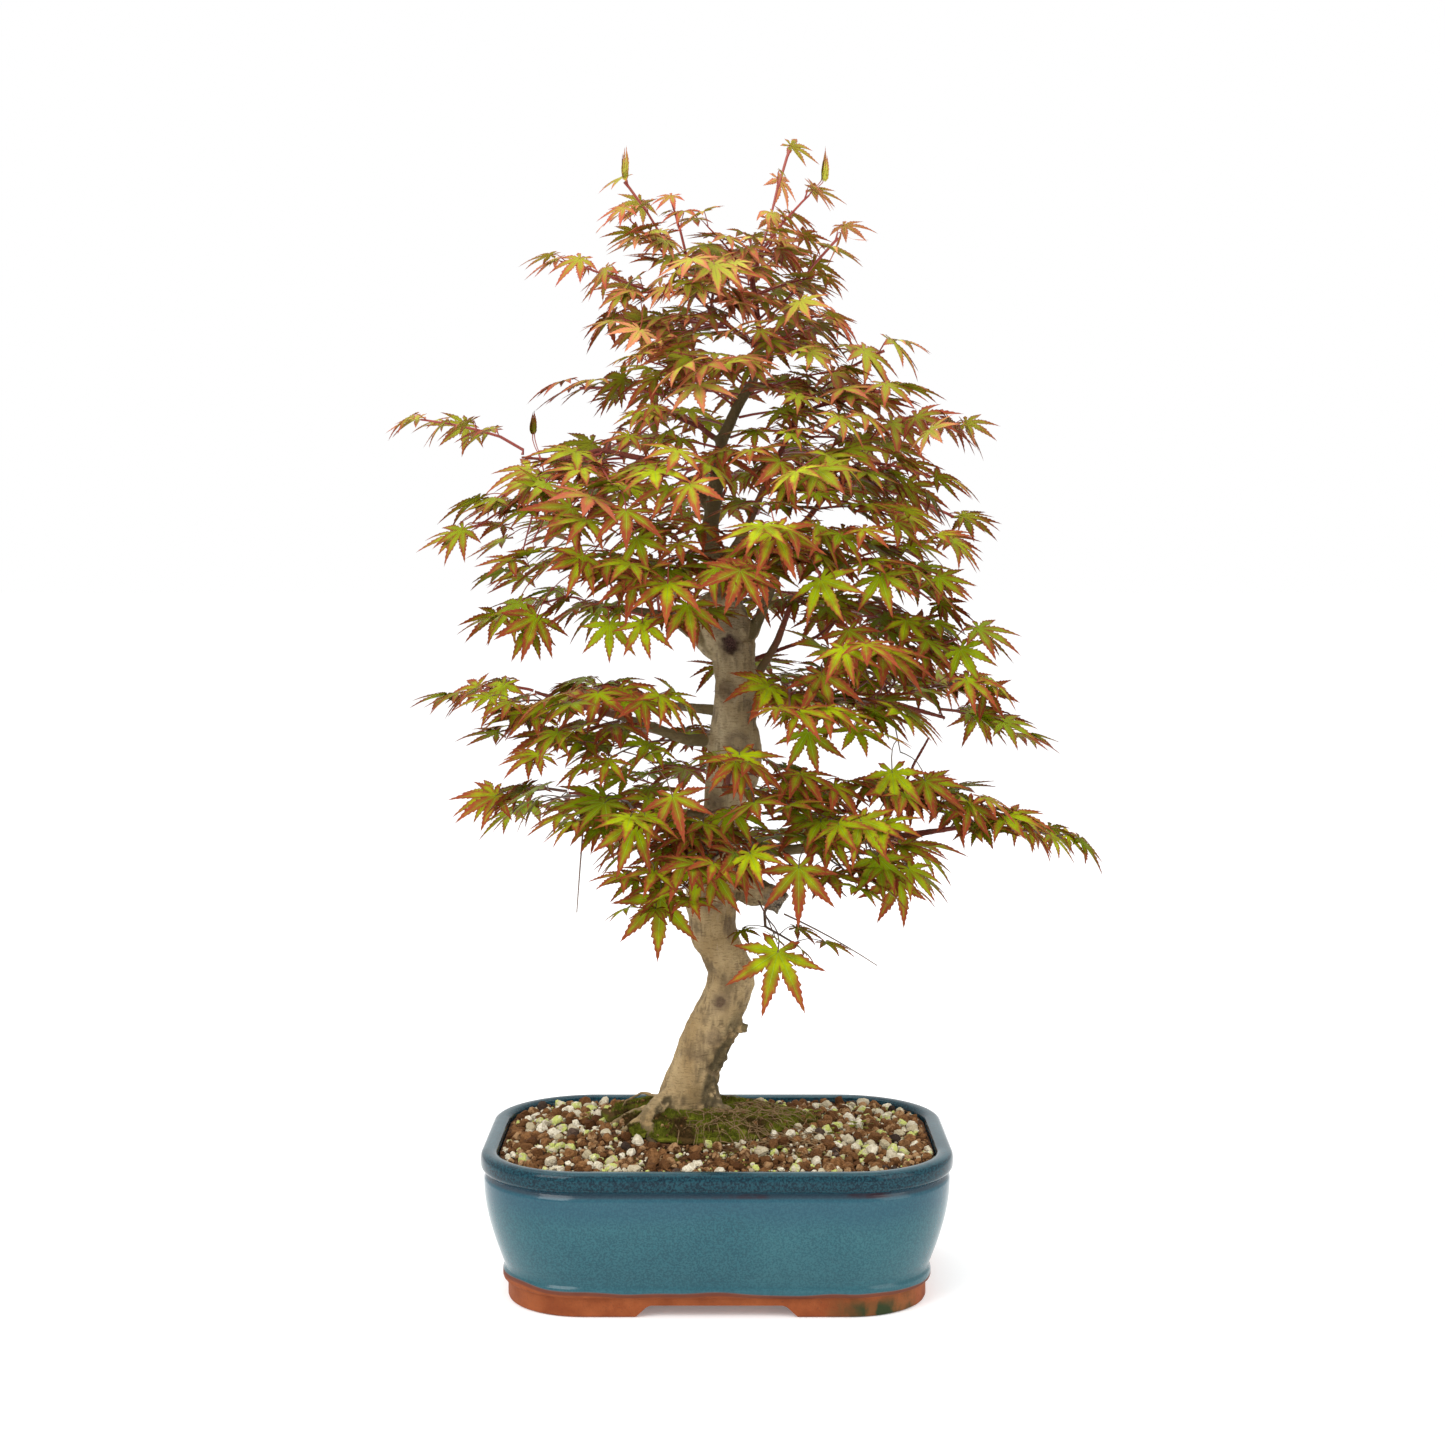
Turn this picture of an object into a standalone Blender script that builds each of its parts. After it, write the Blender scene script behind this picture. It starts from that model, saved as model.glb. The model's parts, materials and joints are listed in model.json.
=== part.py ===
"""A bonsai maple in a glazed oblong pot.

The pot stands on two runner feet with its drain holes screened and clipped.  The soil fills it to just under
the rim, moss covers the soil round the tree, and leafy shoots grow from the trunk's limbs.
Metres, +Z up, origin under the middle of the whole object, on the surface it stands on.
"""

import math
import random

import bmesh
import bpy
from mathutils import Matrix, Vector
from mathutils.bvhtree import BVHTree

MM = 0.001
UP = Vector((0, 0, 1))

# ---------------------------------------------------------------- driving dimensions (metres)
GAP = 0.0003  # left between pieces that touch

POT_WIDTH = 0.280  # across the rim, left to right
POT_DEPTH = 0.200  # across the rim, front to back
POT_HEIGHT = 0.088  # table to top of rim
CORNER_RADIUS = 0.063  # of the rim, seen from above
CORNER_STEPS = 5
RIM_WIDTH = 0.0105
LIP_HEIGHT = 0.012  # rolled lip, down to the groove under it
GROOVE_DEPTH = 0.0024  # of that groove, in from the widest line of the body
SHOULDER_DROP = 0.017  # rim to the widest line of the body
SHOULDER_INSET = 0.002
BELT_INSET = 0.0130  # of the small flange at the glaze's lower edge
BELT_BOTTOM = 0.0130
BELT_TOP = 0.0180
BODY_FOOT_INSET = 0.0145  # body just above the belt
BODY_STEPS = 5
FOOT_INSET = 0.0160
WALL = 0.009
FLOOR_TOP = 0.0125
FOOT_RECESS = 0.007  # underside of the floor above the table
FOOT_RING = 0.015  # width of the foot
FOOT_GAP_BOTTOM = 0.095  # the arch between the two feet, at the table
FOOT_GAP_TOP = 0.079
EDGE_ROUND = 0.0012  # small roundings of the rim, belt and foot

DRAIN_RADIUS = 0.011
DRAIN_FROM_END = 0.070  # end of the rim to the middle of a drain hole
DRAIN_SIDES = 16
MESH_CELLS = 3  # an odd number, so that a clip's legs stand in the middle of openings
MESH_BAR = 0.0024
MESH_THICKNESS = 0.0012
WIRE_RADIUS = 0.0008
WIRE_BEND = 2.2 * WIRE_RADIUS
WIRE_FOOT = 0.009  # length of wire bent outwards under the floor
CLIP_INSET = 0.0024  # side of the drain hole to the middle of a clip's leg

SOIL_DROP = 0.004  # rim to the soil's edge
SOIL_RINGS = 4
MOUND_HEIGHT = 0.017
MOUND_WIDTH = 0.060
MOUND_DEPTH = 0.040
MOSS_HALF_WIDTH = 0.062
MOSS_HALF_DEPTH = 0.040
MOSS_EDGE = 0.0025
MOSS_HEIGHT = 0.006
MOSS_DEPTH = 0.012  # how far it is drawn into the soil before the soil is cut from it
MOSS_SIDES = 22
MOSS_OFFSET = (0.012, -0.004)  # middle of the moss from the foot of the tree

TREE_SCALE = 1.0  # the whole tree above the rim
TREE_FOOT = (-0.019, 0.0)
DESIGN_RIM = 88.0  # rim height, in mm, from which the tree's own heights are taken

TWIG_BASE = 0.0010  # half the thickness of a shoot at its foot
TWIG_TIP = 0.0006
NODE_LENGTH = 0.0017
BUD_LENGTH = 0.0028
PETIOLE_HALF = 0.0005
BLADE_RISE = 0.0006  # middle of a leaf above the foot of its outline
BLADE_SINK = 0.0004  # and the underside below it
LEAF_CLEARANCE = 0.0004  # kept between leaves while they are laid out
LEAF_TRIES = 26
SHOOT_TRIES = 12
LOWEST_LEAF = 0.030  # above the rim
SEED = 71

# Lobes of a leaf: angle from its middle in degrees, and length as a share of the middle lobe.
LOBES = ((-82, 0.72), (-40, 0.93), (0, 1.0), (40, 0.93), (82, 0.72))
SINUS = 0.34  # where two lobes part, as a share of the middle lobe

# The trunk from the buried root crown up to the crotch: x, y, z and radius in mm.
TRUNK = (
    (-19, 0, 72, 20), (-19, 0, 90, 22), (-18.5, 0, 99, 21.5), (-18, 0, 107, 19.5), (-16.5, 0, 117, 16.4),
    (-12.5, 0, 129, 15.3), (-8.5, 0, 139, 15.4), (-3.5, 0, 150, 15.8), (1.5, 0, 161, 15.3), (5.5, 0, 171, 14.4),
    (8, 0, 180, 15.0), (8, 0, 188, 14.4), (3, 0, 198, 13.2), (-2, 0, 211, 14.2), (-4, 0, 227, 15.8),
    (-3, 0, 242, 14.8), (0, 0, 257, 12.8), (2, 0, 274, 11.3), (3, 0, 292, 11.0), (5, 0, 312, 12.0),
    (8, 0, 334, 12.4), (10, 0, 352, 12.2), (10, 0, 365, 11.9), (10, 0, 378, 13.4), (11, 0, 387, 12.6),
)

# Limbs, roots and cut stubs: radius at the start and the end, then their points, all in mm.
LIMBS = {
    "leader": (7.5, 1.3, ((10, 0, 378), (6, 0, 400), (2, 0, 416), (-3, 2, 436), (-4, 0, 456), (0, -2, 484),
                          (3, 0, 506), (12, 2, 526), (22, 0, 542), (26, -2, 563), (23, 0, 589), (20, 0, 611))),
    "second_leader": (3.6, 1.6, ((-2, 0, 433), (9, 4, 440), (19, 6, 456), (28, 5, 478), (43, 3, 510),
                                 (51, 0, 533))),
    "left_limb": (6.4, 1.8, ((8, 0, 374), (-5, -3, 382), (-16, -8, 393), (-27, -11, 401), (-50, -10, 405),
                             (-79, -4, 408))),
    "high_left": (3.0, 1.3, ((-3, 0, 463), (-16, -5, 481), (-40, -9, 494), (-69, -8, 500), (-95, -4, 494),
                             (-117, 0, 496))),
    "upper_left": (2.6, 1.3, ((3, 0, 504), (-10, 2, 514), (-34, 2, 524))),
    "top_left": (2.2, 1.1, ((25, -1, 560), (3, 2, 577), (-14, 2, 593), (-22, 2, 603))),
    "left_high_bough": (5.0, 1.4, ((8, 0, 326), (-7, -2, 327), (-18, -5, 327), (-41, -7, 336), (-60, -6, 342),
                                   (-85, 0, 348), (-110, 0, 356))),
    "left_back_bough": (5.0, 1.5, ((9, 4, 340), (-2, 13, 344), (-26, 22, 346), (-55, 26, 349))),
    "left_low_bough": (3.6, 1.3, ((2, 0, 276), (-11, -4, 282), (-46, -9, 288), (-62, -8, 293),
                                  (-90, 0, 295))),
    "right_rising": (4.4, 1.4, ((12, 0, 380), (22, -2, 392), (28, -4, 407), (36, -7, 427), (49, -10, 453),
                                (67, -10, 476), (86, -5, 492))),
    "right_middle": (3.4, 1.4, ((11, 0, 356), (25, -3, 367), (36, -2, 386), (43, -2, 405), (59, -5, 423),
                                (81, 0, 435))),
    "right_back": (2.2, 1.2, ((12, 6, 368), (23, 14, 375), (42, 18, 382), (60, 18, 388), (75, 17, 400))),
    "right_low_bough": (4.4, 1.4, ((10, 0, 342), (26, -4, 351), (50, -7, 354), (80, -8, 351), (110, -5, 348),
                                   (138, 0, 340))),
    "right_base_bough": (4.6, 1.2, ((2, 0, 260), (17, 3, 257), (47, -3, 261), (80, -6, 266), (112, -2, 269),
                                    (147, 0, 274), (166, 0, 275))),
    "rising_twig": (1.7, 1.2, ((100, -4, 267), (103, -2, 280), (110, 0, 293), (119, 0, 313), (128, 0, 329))),
    "front_low": (3.2, 1.6, ((3, 0, 291), (6, -22, 304), (8, -45, 312))),
    "front_high": (3.0, 1.5, ((5, 0, 408), (10, -20, 416), (17, -45, 424))),
    "back_high": (2.8, 1.4, ((-3, 0, 450), (0, 22, 466), (6, 46, 480))),
    "back_low": (3.2, 1.5, ((4, 0, 300), (10, 24, 314), (22, 50, 324))),
    "cut_stub": (8.6, 7.4, ((-4, 0, 246), (16, -3, 242), (40, -5, 228))),
    "knob": (6.0, 3.4, ((10, -3, 185), (23, -4, 187))),
    "low_knob": (4.6, 2.6, ((4, -5, 154), (19, -6, 152))),
    "root_front": (6.5, 2.6, ((-22, -4, 113), (-35, -17, 109), (-43, -26, 102), (-41, -34, 97), (-37, -41, 91),
                              (-35, -46, 83))),
    "root_side": (3.2, 1.5, ((-41, -24, 104), (-50, -26, 99), (-57, -24, 93), (-63, -22, 84))),
    "root_left": (5.0, 1.4, ((-26, -6, 106), (-42, -14, 104), (-53, -11, 100), (-63, -8, 94), (-72, -6, 84))),
    "root_arching": (1.6, 1.1, ((-33, -10, 111), (-45, -6, 113), (-55, -1, 107), (-60, 2, 98), (-62, 3, 86))),
    "root_back": (9.0, 3.0, ((-16, 6, 108), (-12, 24, 100), (-6, 42, 86))),
    "root_right": (8.5, 3.0, ((-14, -2, 107), (6, -8, 100), (22, -12, 87))),
}

# Leafy shoots: pairs of leaves, leaf length in mm, then where the shoot starts out and where it ends, in mm.
SPRAYS = {
    "apex_top": (3, 21, (25, 0, 616), (42, 0, 674)),
    "apex_right_inner": (3, 21, (18, -10, 605), (52, -15, 646)),
    "apex_right_outer": (3, 22, (35, 0, 577), (71, 5, 625)),
    "apex_left_inner": (3, 19, (-16, -15, 602), (-26, -20, 642)),
    "apex_left_middle": (3, 20, (-22, 5, 607), (-53, 0, 656)),
    "apex_left_outer": (4, 23, (-31, 0, 583), (-90, 0, 611)),
    "apex_front": (3, 26, (2, -15, 587), (-7, -60, 599)),
    "apex_back": (3, 24, (11, 20, 597), (11, 60, 621)),
    "upper_left_inner": (3, 27, (-10, 0, 560), (-55, 10, 577)),
    "upper_left_outer": (4, 27, (-16, -5, 527), (-79, 0, 537)),
    "upper_front": (3, 29, (11, -10, 544), (-7, -75, 544)),
    "upper_right_inner": (3, 26, (32, 5, 560), (63, 30, 578)),
    "upper_right_outer": (3, 28, (52, 0, 530), (97, 0, 558)),
    "upper_right_low": (3, 28, (49, -5, 521), (92, -35, 532)),
    "far_left": (4, 22, (-116, 0, 498), (-174, 0, 518)),
    "high_left_outer": (3, 27, (-93, -5, 482), (-140, -20, 455)),
    "high_left_middle": (3, 29, (-69, -12, 496), (-124, -35, 472)),
    "high_left_front": (3, 30, (-45, -20, 492), (-75, -92, 458)),
    "high_left_back": (3, 28, (-40, 15, 504), (-78, 80, 500)),
    "high_front": (3, 29, (-7, -15, 488), (-22, -95, 476)),
    "high_right_outer": (4, 25, (79, 0, 506), (142, 0, 515)),
    "high_right_middle": (3, 29, (72, -20, 491), (121, -40, 484)),
    "high_right_low": (3, 28, (86, 10, 477), (140, 10, 462)),
    "high_right_front": (3, 30, (49, -20, 484), (50, -97, 484)),
    "high_right_back": (3, 28, (50, 20, 496), (88, 88, 490)),
    "mid_left_outer": (3, 29, (-82, 0, 411), (-121, 0, 402)),
    "mid_left_middle": (3, 30, (-58, -10, 420), (-92, -58, 430)),
    "mid_left_front": (3, 31, (-34, -20, 411), (-40, -100, 427)),
    "mid_front": (3, 29, (11, -15, 417), (10, -90, 428)),
    "mid_right_front": (3, 31, (49, -20, 435), (35, -105, 451)),
    "mid_right_middle": (3, 30, (67, -20, 429), (96, -70, 429)),
    "mid_right_outer": (3, 28, (84, 3, 434), (127, 8, 412)),
    "mid_right_back": (3, 29, (66, 20, 402), (108, 82, 394)),
    "low_left_outer": (3, 26, (-112, 0, 357), (-151, 0, 354)),
    "low_left_middle": (3, 30, (-70, -15, 346), (-84, -78, 352)),
    "low_left_front": (3, 29, (-46, -10, 343), (-38, -80, 356)),
    "low_left_back": (3, 28, (-59, 20, 350), (-82, 90, 352)),
    "low_right_upper": (3, 30, (97, -10, 363), (141, -20, 388)),
    "low_right_outer": (4, 25, (134, 0, 342), (176, 0, 332)),
    "low_right_middle": (3, 31, (79, -20, 362), (76, -96, 383)),
    "low_right_inner": (3, 30, (43, -15, 358), (41, -90, 351)),
    "low_right_back": (3, 29, (99, 15, 356), (141, 75, 359)),
    "base_left_outer": (3, 29, (-92, 0, 296), (-124, -10, 294)),
    "base_left_front": (3, 31, (-58, -15, 292), (-46, -80, 290)),
    "base_front_upper": (3, 32, (5, -15, 307), (13, -90, 320)),
    "base_front_lower": (4, 31, (6, -20, 262), (-4, -82, 262)),
    "base_right_front": (4, 31, (62, -12, 272), (74, -78, 284)),
    "base_right_rise": (3, 29, (112, -4, 296), (104, -48, 300)),
    "base_right_outer": (3, 29, (108, -2, 269), (116, -12, 250)),
    "far_right": (4, 24, (168, 0, 273), (206, 0, 268)),
    "skirt_left": (3, 28, (-22, -12, 264), (-40, -42, 238)),
    "skirt_right": (3, 33, (24, -12, 216), (46, -30, 208)),
}


# ---------------------------------------------------------------- small helpers
def clear_scene():
    for obj in list(bpy.data.objects):
        bpy.data.objects.remove(obj, do_unlink=True)


def finish(obj, colour, roughness, smooth_angle=35.0):
    """Give an object its material, and smooth shading with sharp edges kept."""
    material = bpy.data.materials.get(colour[0]) or bpy.data.materials.new(colour[0])
    material.use_nodes = True
    shader = material.node_tree.nodes["Principled BSDF"]
    shader.inputs["Base Color"].default_value = (*colour[1], 1.0)
    shader.inputs["Roughness"].default_value = roughness
    shader.inputs["Metallic"].default_value = 1.0 if colour[0] == "wire" else 0.0
    obj.data.materials.clear()
    obj.data.materials.append(material)
    obj.data.shade_smooth()
    obj.data.set_sharp_from_angle(angle=math.radians(smooth_angle))
    return obj


def object_from(name, bm):
    """Turn a bmesh into an object with its faces pointing outwards."""
    bmesh.ops.recalc_face_normals(bm, faces=bm.faces)
    if bm.calc_volume(signed=True) < 0:
        bmesh.ops.reverse_faces(bm, faces=bm.faces)
    mesh = bpy.data.meshes.new(name)
    bm.to_mesh(mesh)
    bm.free()
    obj = bpy.data.objects.new(name, mesh)
    bpy.context.scene.collection.objects.link(obj)
    return obj


def loft(name, rings):
    """A closed body through a list of rings with the same number of points, capped at both ends."""
    bm = bmesh.new()
    loops = [[bm.verts.new(point) for point in ring] for ring in rings]
    for lower, upper in zip(loops, loops[1:]):
        for i in range(len(lower)):
            j = (i + 1) % len(lower)
            bm.faces.new((lower[i], lower[j], upper[j], upper[i]))
    bm.faces.new(loops[0][::-1])
    bm.faces.new(loops[-1])
    return object_from(name, bm)


def split_faces(obj):
    """Cut every face into triangles, so that a copy of the surface follows it exactly."""
    bm = bmesh.new()
    bm.from_mesh(obj.data)
    bmesh.ops.triangulate(bm, faces=bm.faces)
    bm.to_mesh(obj.data)
    bm.free()


def boolean(obj, other, operation):
    """Join or cut with another object, which is used up."""
    other.hide_render = True
    other.display_type = "WIRE"
    modifier = obj.modifiers.new(operation.lower(), "BOOLEAN")
    modifier.operation = operation
    modifier.solver = "EXACT"
    modifier.object = other
    graph = bpy.context.evaluated_depsgraph_get()
    mesh = bpy.data.meshes.new_from_object(obj.evaluated_get(graph))
    obj.modifiers.remove(modifier)
    obj.data = mesh
    bpy.data.objects.remove(other, do_unlink=True)


def tube(name, points, radii, resolution):
    """A closed tube along points, its radius changing from point to point."""
    curve = bpy.data.curves.new(name, "CURVE")
    curve.dimensions = "3D"
    curve.bevel_depth = 1.0
    curve.bevel_resolution = resolution
    curve.use_fill_caps = True
    spline = curve.splines.new("POLY")
    spline.points.add(len(points) - 1)
    for spot, point, radius in zip(spline.points, points, radii):
        spot.co = (*point, 1.0)
        spot.radius = radius
    guide = bpy.data.objects.new(name, curve)
    mesh = bpy.data.meshes.new_from_object(guide)
    bpy.data.objects.remove(guide, do_unlink=True)
    bm = bmesh.new()
    bm.from_mesh(mesh)
    bmesh.ops.remove_doubles(bm, verts=bm.verts, dist=1e-6)
    return object_from(name, bm)


# ---------------------------------------------------------------- pot
def rounded_rectangle(inset, z):
    """The pot's outline seen from above, taken in by an inset, at a height."""
    radius = max(CORNER_RADIUS - inset, 0.004)
    half_x = POT_WIDTH / 2 - inset - radius
    half_y = POT_DEPTH / 2 - inset - radius
    points = []
    for corner, (sx, sy) in enumerate(((1, 1), (-1, 1), (-1, -1), (1, -1))):
        for step in range(CORNER_STEPS + 1):
            angle = math.radians(90 * (corner + step / CORNER_STEPS))
            x = sx * half_x + radius * math.cos(angle)
            y = sy * half_y + radius * math.sin(angle)
            points.append(Vector((x, y, z)))
    return points


def body_curve():
    """(inset, height) of the glazed body, from the belt up to the shoulder."""
    shoulder = POT_HEIGHT - SHOULDER_DROP
    for step in range(BODY_STEPS + 1):
        share = step / BODY_STEPS
        inset = BODY_FOOT_INSET + (SHOULDER_INSET - BODY_FOOT_INSET) * math.sin(share * math.pi / 2)
        yield inset, BELT_TOP + 0.001 + (shoulder - BELT_TOP - 0.001) * share


def inner_wall():
    """(inset, height) of the inside, from the floor up to the rim."""
    lowest = BODY_FOOT_INSET + WALL
    profile = [(lowest + 0.009, FLOOR_TOP), (lowest + 0.003, FLOOR_TOP + 0.004)]
    profile += [(inset + WALL, z) for inset, z in body_curve()]
    profile.append((RIM_WIDTH, POT_HEIGHT - EDGE_ROUND))
    return profile


def make_pot():
    lip = POT_HEIGHT - LIP_HEIGHT
    profile = inner_wall()
    profile += [
        (RIM_WIDTH - EDGE_ROUND, POT_HEIGHT),
        (LIP_HEIGHT / 3, POT_HEIGHT),
        (EDGE_ROUND, POT_HEIGHT - EDGE_ROUND),
        (0.0, POT_HEIGHT - LIP_HEIGHT / 3),
        (0.0, POT_HEIGHT - LIP_HEIGHT * 2 / 3),
        (EDGE_ROUND, lip + EDGE_ROUND),
        (SHOULDER_INSET + GROOVE_DEPTH, lip - EDGE_ROUND),
        (SHOULDER_INSET + GROOVE_DEPTH / 4, lip - 2.5 * EDGE_ROUND),
    ]
    profile += list(body_curve())[::-1]
    profile += [
        (BELT_INSET, BELT_TOP),
        (BELT_INSET, BELT_BOTTOM),
        (BELT_INSET + EDGE_ROUND, BELT_BOTTOM - EDGE_ROUND),
        (FOOT_INSET, BELT_BOTTOM - 1.5 * EDGE_ROUND),
        (FOOT_INSET, EDGE_ROUND),
        (FOOT_INSET + EDGE_ROUND, 0.0),
        (FOOT_INSET + FOOT_RING, 0.0),
        (FOOT_INSET + FOOT_RING, FOOT_RECESS),
    ]
    pot = loft("pot", [rounded_rectangle(inset, z) for inset, z in profile])
    boolean(pot, foot_gap_cutter(), "DIFFERENCE")
    for x in drain_places():
        boolean(pot, drain_cutter(x), "DIFFERENCE")
    return finish(pot, ("glaze", (0.05, 0.18, 0.24)), 0.22)


def foot_gap_cutter():
    """A prism through the front and back of the foot ring, wider at the table, as high as the recess."""
    rings = []
    for y in (-POT_DEPTH, POT_DEPTH):
        corners = (
            (-FOOT_GAP_BOTTOM / 2, -0.001),
            (FOOT_GAP_BOTTOM / 2, -0.001),
            (FOOT_GAP_TOP / 2, FOOT_RECESS),
            (-FOOT_GAP_TOP / 2, FOOT_RECESS),
        )
        rings.append([Vector((x, y, z)) for x, z in corners])
    return loft("foot_gap", rings)


def drain_places():
    return (DRAIN_FROM_END - POT_WIDTH / 2, POT_WIDTH / 2 - DRAIN_FROM_END)


def drain_cutter(x):
    bm = bmesh.new()
    bmesh.ops.create_cone(
        bm,
        cap_ends=True,
        segments=DRAIN_SIDES,
        radius1=DRAIN_RADIUS,
        radius2=DRAIN_RADIUS,
        depth=FLOOR_TOP * 2,
        matrix=Matrix.Translation((x, 0, FLOOR_TOP)),
    )
    return object_from("drain", bm)


# ---------------------------------------------------------------- drain screens and their clips
def mesh_pitch():
    """From one opening to the next, so that a clip's legs pass through two of them and down the hole."""
    return DRAIN_RADIUS - CLIP_INSET


def mesh_top():
    return FLOOR_TOP + GAP + MESH_THICKNESS


def make_drain_mesh(name, x):
    """A square plastic screen with rows of square openings, lying over a drain hole."""
    lines = [0.0]
    for cell in range(MESH_CELLS):
        lines.append(MESH_BAR + cell * mesh_pitch())
        lines.append((cell + 1) * mesh_pitch())
    lines.append(lines[-1] + MESH_BAR)
    middle = lines[-1] / 2
    bm = bmesh.new()
    grid = [[bm.verts.new((x + a - middle, b - middle, FLOOR_TOP + GAP)) for a in lines] for b in lines]
    for row in range(len(lines) - 1):
        for column in range(len(lines) - 1):
            if row % 2 and column % 2:
                continue
            corners = (grid[row][column], grid[row][column + 1])
            bm.faces.new((*corners, grid[row + 1][column + 1], grid[row + 1][column]))
    raised = bmesh.ops.extrude_face_region(bm, geom=bm.faces[:])["geom"]
    moved = [item for item in raised if isinstance(item, bmesh.types.BMVert)]
    bmesh.ops.translate(bm, verts=moved, vec=(0, 0, MESH_THICKNESS))
    return finish(object_from(name, bm), ("mesh_plastic", (0.02, 0.022, 0.02)), 0.5, 20.0)


def make_clip(name, x):
    """A wire staple over the screen: its legs go down the drain hole and bend outwards under the floor."""
    leg = mesh_pitch()
    top = mesh_top() + GAP + WIRE_RADIUS
    low = FOOT_RECESS - GAP - WIRE_RADIUS
    half = (
        (DRAIN_RADIUS + WIRE_FOOT, low),
        (leg + WIRE_BEND, low),
        (leg, low + WIRE_BEND),
        (leg, top - WIRE_BEND),
        (leg - WIRE_BEND, top),
    )
    points = [Vector((x + a, 0, z)) for a, z in half]
    points += [Vector((x - a, 0, z)) for a, z in half[::-1]]
    clip = tube(name, points, [WIRE_RADIUS] * len(points), 1)
    return finish(clip, ("wire", (0.55, 0.54, 0.52)), 0.4)


# ---------------------------------------------------------------- soil and moss
def soil_rise(x, y):
    """How far the mounded soil stands above its own edge."""
    across = (x - TREE_FOOT[0]) / MOUND_WIDTH
    along = (y - TREE_FOOT[1]) / MOUND_DEPTH
    return MOUND_HEIGHT * math.exp(-0.5 * (across * across + along * along))


def soil_edge():
    return POT_HEIGHT - SOIL_DROP


def make_soil():
    edge = soil_edge()
    walls = inner_wall()
    profile = [(inset + GAP, z + (GAP if z == FLOOR_TOP else 0.0)) for inset, z in walls if z < edge - 0.002]
    (inset_a, z_a), (inset_b, z_b) = next(pair for pair in zip(walls, walls[1:]) if pair[1][1] > edge)
    share = (edge - z_a) / (z_b - z_a)
    profile.append((inset_a + (inset_b - inset_a) * share + 2 * GAP, edge))
    rings = [rounded_rectangle(inset, z) for inset, z in profile]
    rim = rings[-1]
    for ring in range(1, SOIL_RINGS + 1):
        share = 1 - ring / (SOIL_RINGS + 0.6)
        spots = [Vector((p.x * share, p.y * share, 0)) for p in rim]
        fade = min(1.0, 1.6 * (1 - share))
        rings.append([Vector((p.x, p.y, edge + soil_rise(p.x, p.y) * fade)) for p in spots])
    soil = loft("soil", rings)
    split_faces(soil)
    for x in drain_places():
        boolean(soil, pocket_cutter(x), "DIFFERENCE")
    return soil


def pocket_cutter(x):
    """The space that a screen and its clip take up under the soil."""
    half = mesh_pitch() * MESH_CELLS / 2 + MESH_BAR + GAP
    height = mesh_top() + 2 * GAP + 2 * WIRE_RADIUS - FLOOR_TOP
    bm = bmesh.new()
    size = Matrix.Diagonal((2 * half, 2 * half, 2 * height, 1.0))
    bmesh.ops.create_cube(bm, size=1.0, matrix=Matrix.Translation((x, 0, FLOOR_TOP)) @ size)
    return object_from("pocket", bm)


def make_moss(soil):
    """A low cushion on the soil round the foot of the tree."""
    rings = []
    shoulder = (MOSS_EDGE + MOSS_HEIGHT) / 2
    for share, height in ((1.0, -MOSS_DEPTH), (1.0, MOSS_EDGE), (0.86, shoulder), (0.55, MOSS_HEIGHT)):
        ring = []
        for side in range(MOSS_SIDES):
            angle = 2 * math.pi * side / MOSS_SIDES
            wobble = 1 + 0.10 * math.sin(3 * angle + 0.7) + 0.07 * math.sin(5 * angle)
            x = TREE_FOOT[0] + MOSS_OFFSET[0] + MOSS_HALF_WIDTH * wobble * share * math.cos(angle)
            y = TREE_FOOT[1] + MOSS_OFFSET[1] + MOSS_HALF_DEPTH * wobble * share * math.sin(angle)
            ring.append(Vector((x, y, soil_edge() + soil_rise(x, y) + height)))
        rings.append(ring)
    moss = loft("moss", rings)
    floor = soil.copy()
    floor.data = soil.data.copy()
    floor.data.transform(Matrix.Translation((0, 0, GAP)))
    bpy.context.scene.collection.objects.link(floor)
    boolean(moss, floor, "DIFFERENCE")
    return moss


def keep_largest(obj):
    """Drop the crumbs that a cut leaves, keeping the body with the most faces."""
    bm = bmesh.new()
    bm.from_mesh(obj.data)
    unseen = set(bm.faces)
    bodies = []
    while unseen:
        stack = [unseen.pop()]
        body = set(stack)
        while stack:
            for edge in stack.pop().edges:
                for face in edge.link_faces:
                    if face in unseen:
                        unseen.discard(face)
                        body.add(face)
                        stack.append(face)
        bodies.append(body)
    largest = max(bodies, key=len)
    crumbs = [face for face in bm.faces if face not in largest]
    bmesh.ops.delete(bm, geom=crumbs, context="FACES")
    bm.to_mesh(obj.data)
    bm.free()


# ---------------------------------------------------------------- trunk, limbs and roots
def tree_point(point):
    """A point of the tree's own design, in mm, where it stands in the pot."""
    x, y, z = (value * MM * TREE_SCALE for value in (point[0], point[1], point[2] - DESIGN_RIM))
    return Vector((x, y, POT_HEIGHT + z))


def trunk_parts():
    """(name, points, radii, resolution) of the trunk and of everything that grows from it."""
    yield "trunk", [tree_point(p) for p in TRUNK], [p[3] * MM * TREE_SCALE for p in TRUNK], 4
    for name, (thick, thin, points) in LIMBS.items():
        last = len(points) - 1
        radii = [(thick + (thin - thick) * i / last) * MM * TREE_SCALE for i in range(last + 1)]
        yield name, [tree_point(p) for p in points], radii, 2 if thick > 4.2 else 1


def make_trunk():
    trunk = None
    for name, points, radii, resolution in trunk_parts():
        piece = tube(name, points, radii, resolution)
        if trunk is None:
            trunk = piece
        else:
            boolean(trunk, piece, "UNION")
    return finish(trunk, ("bark", (0.36, 0.27, 0.18)), 0.85, 50.0)


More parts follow.
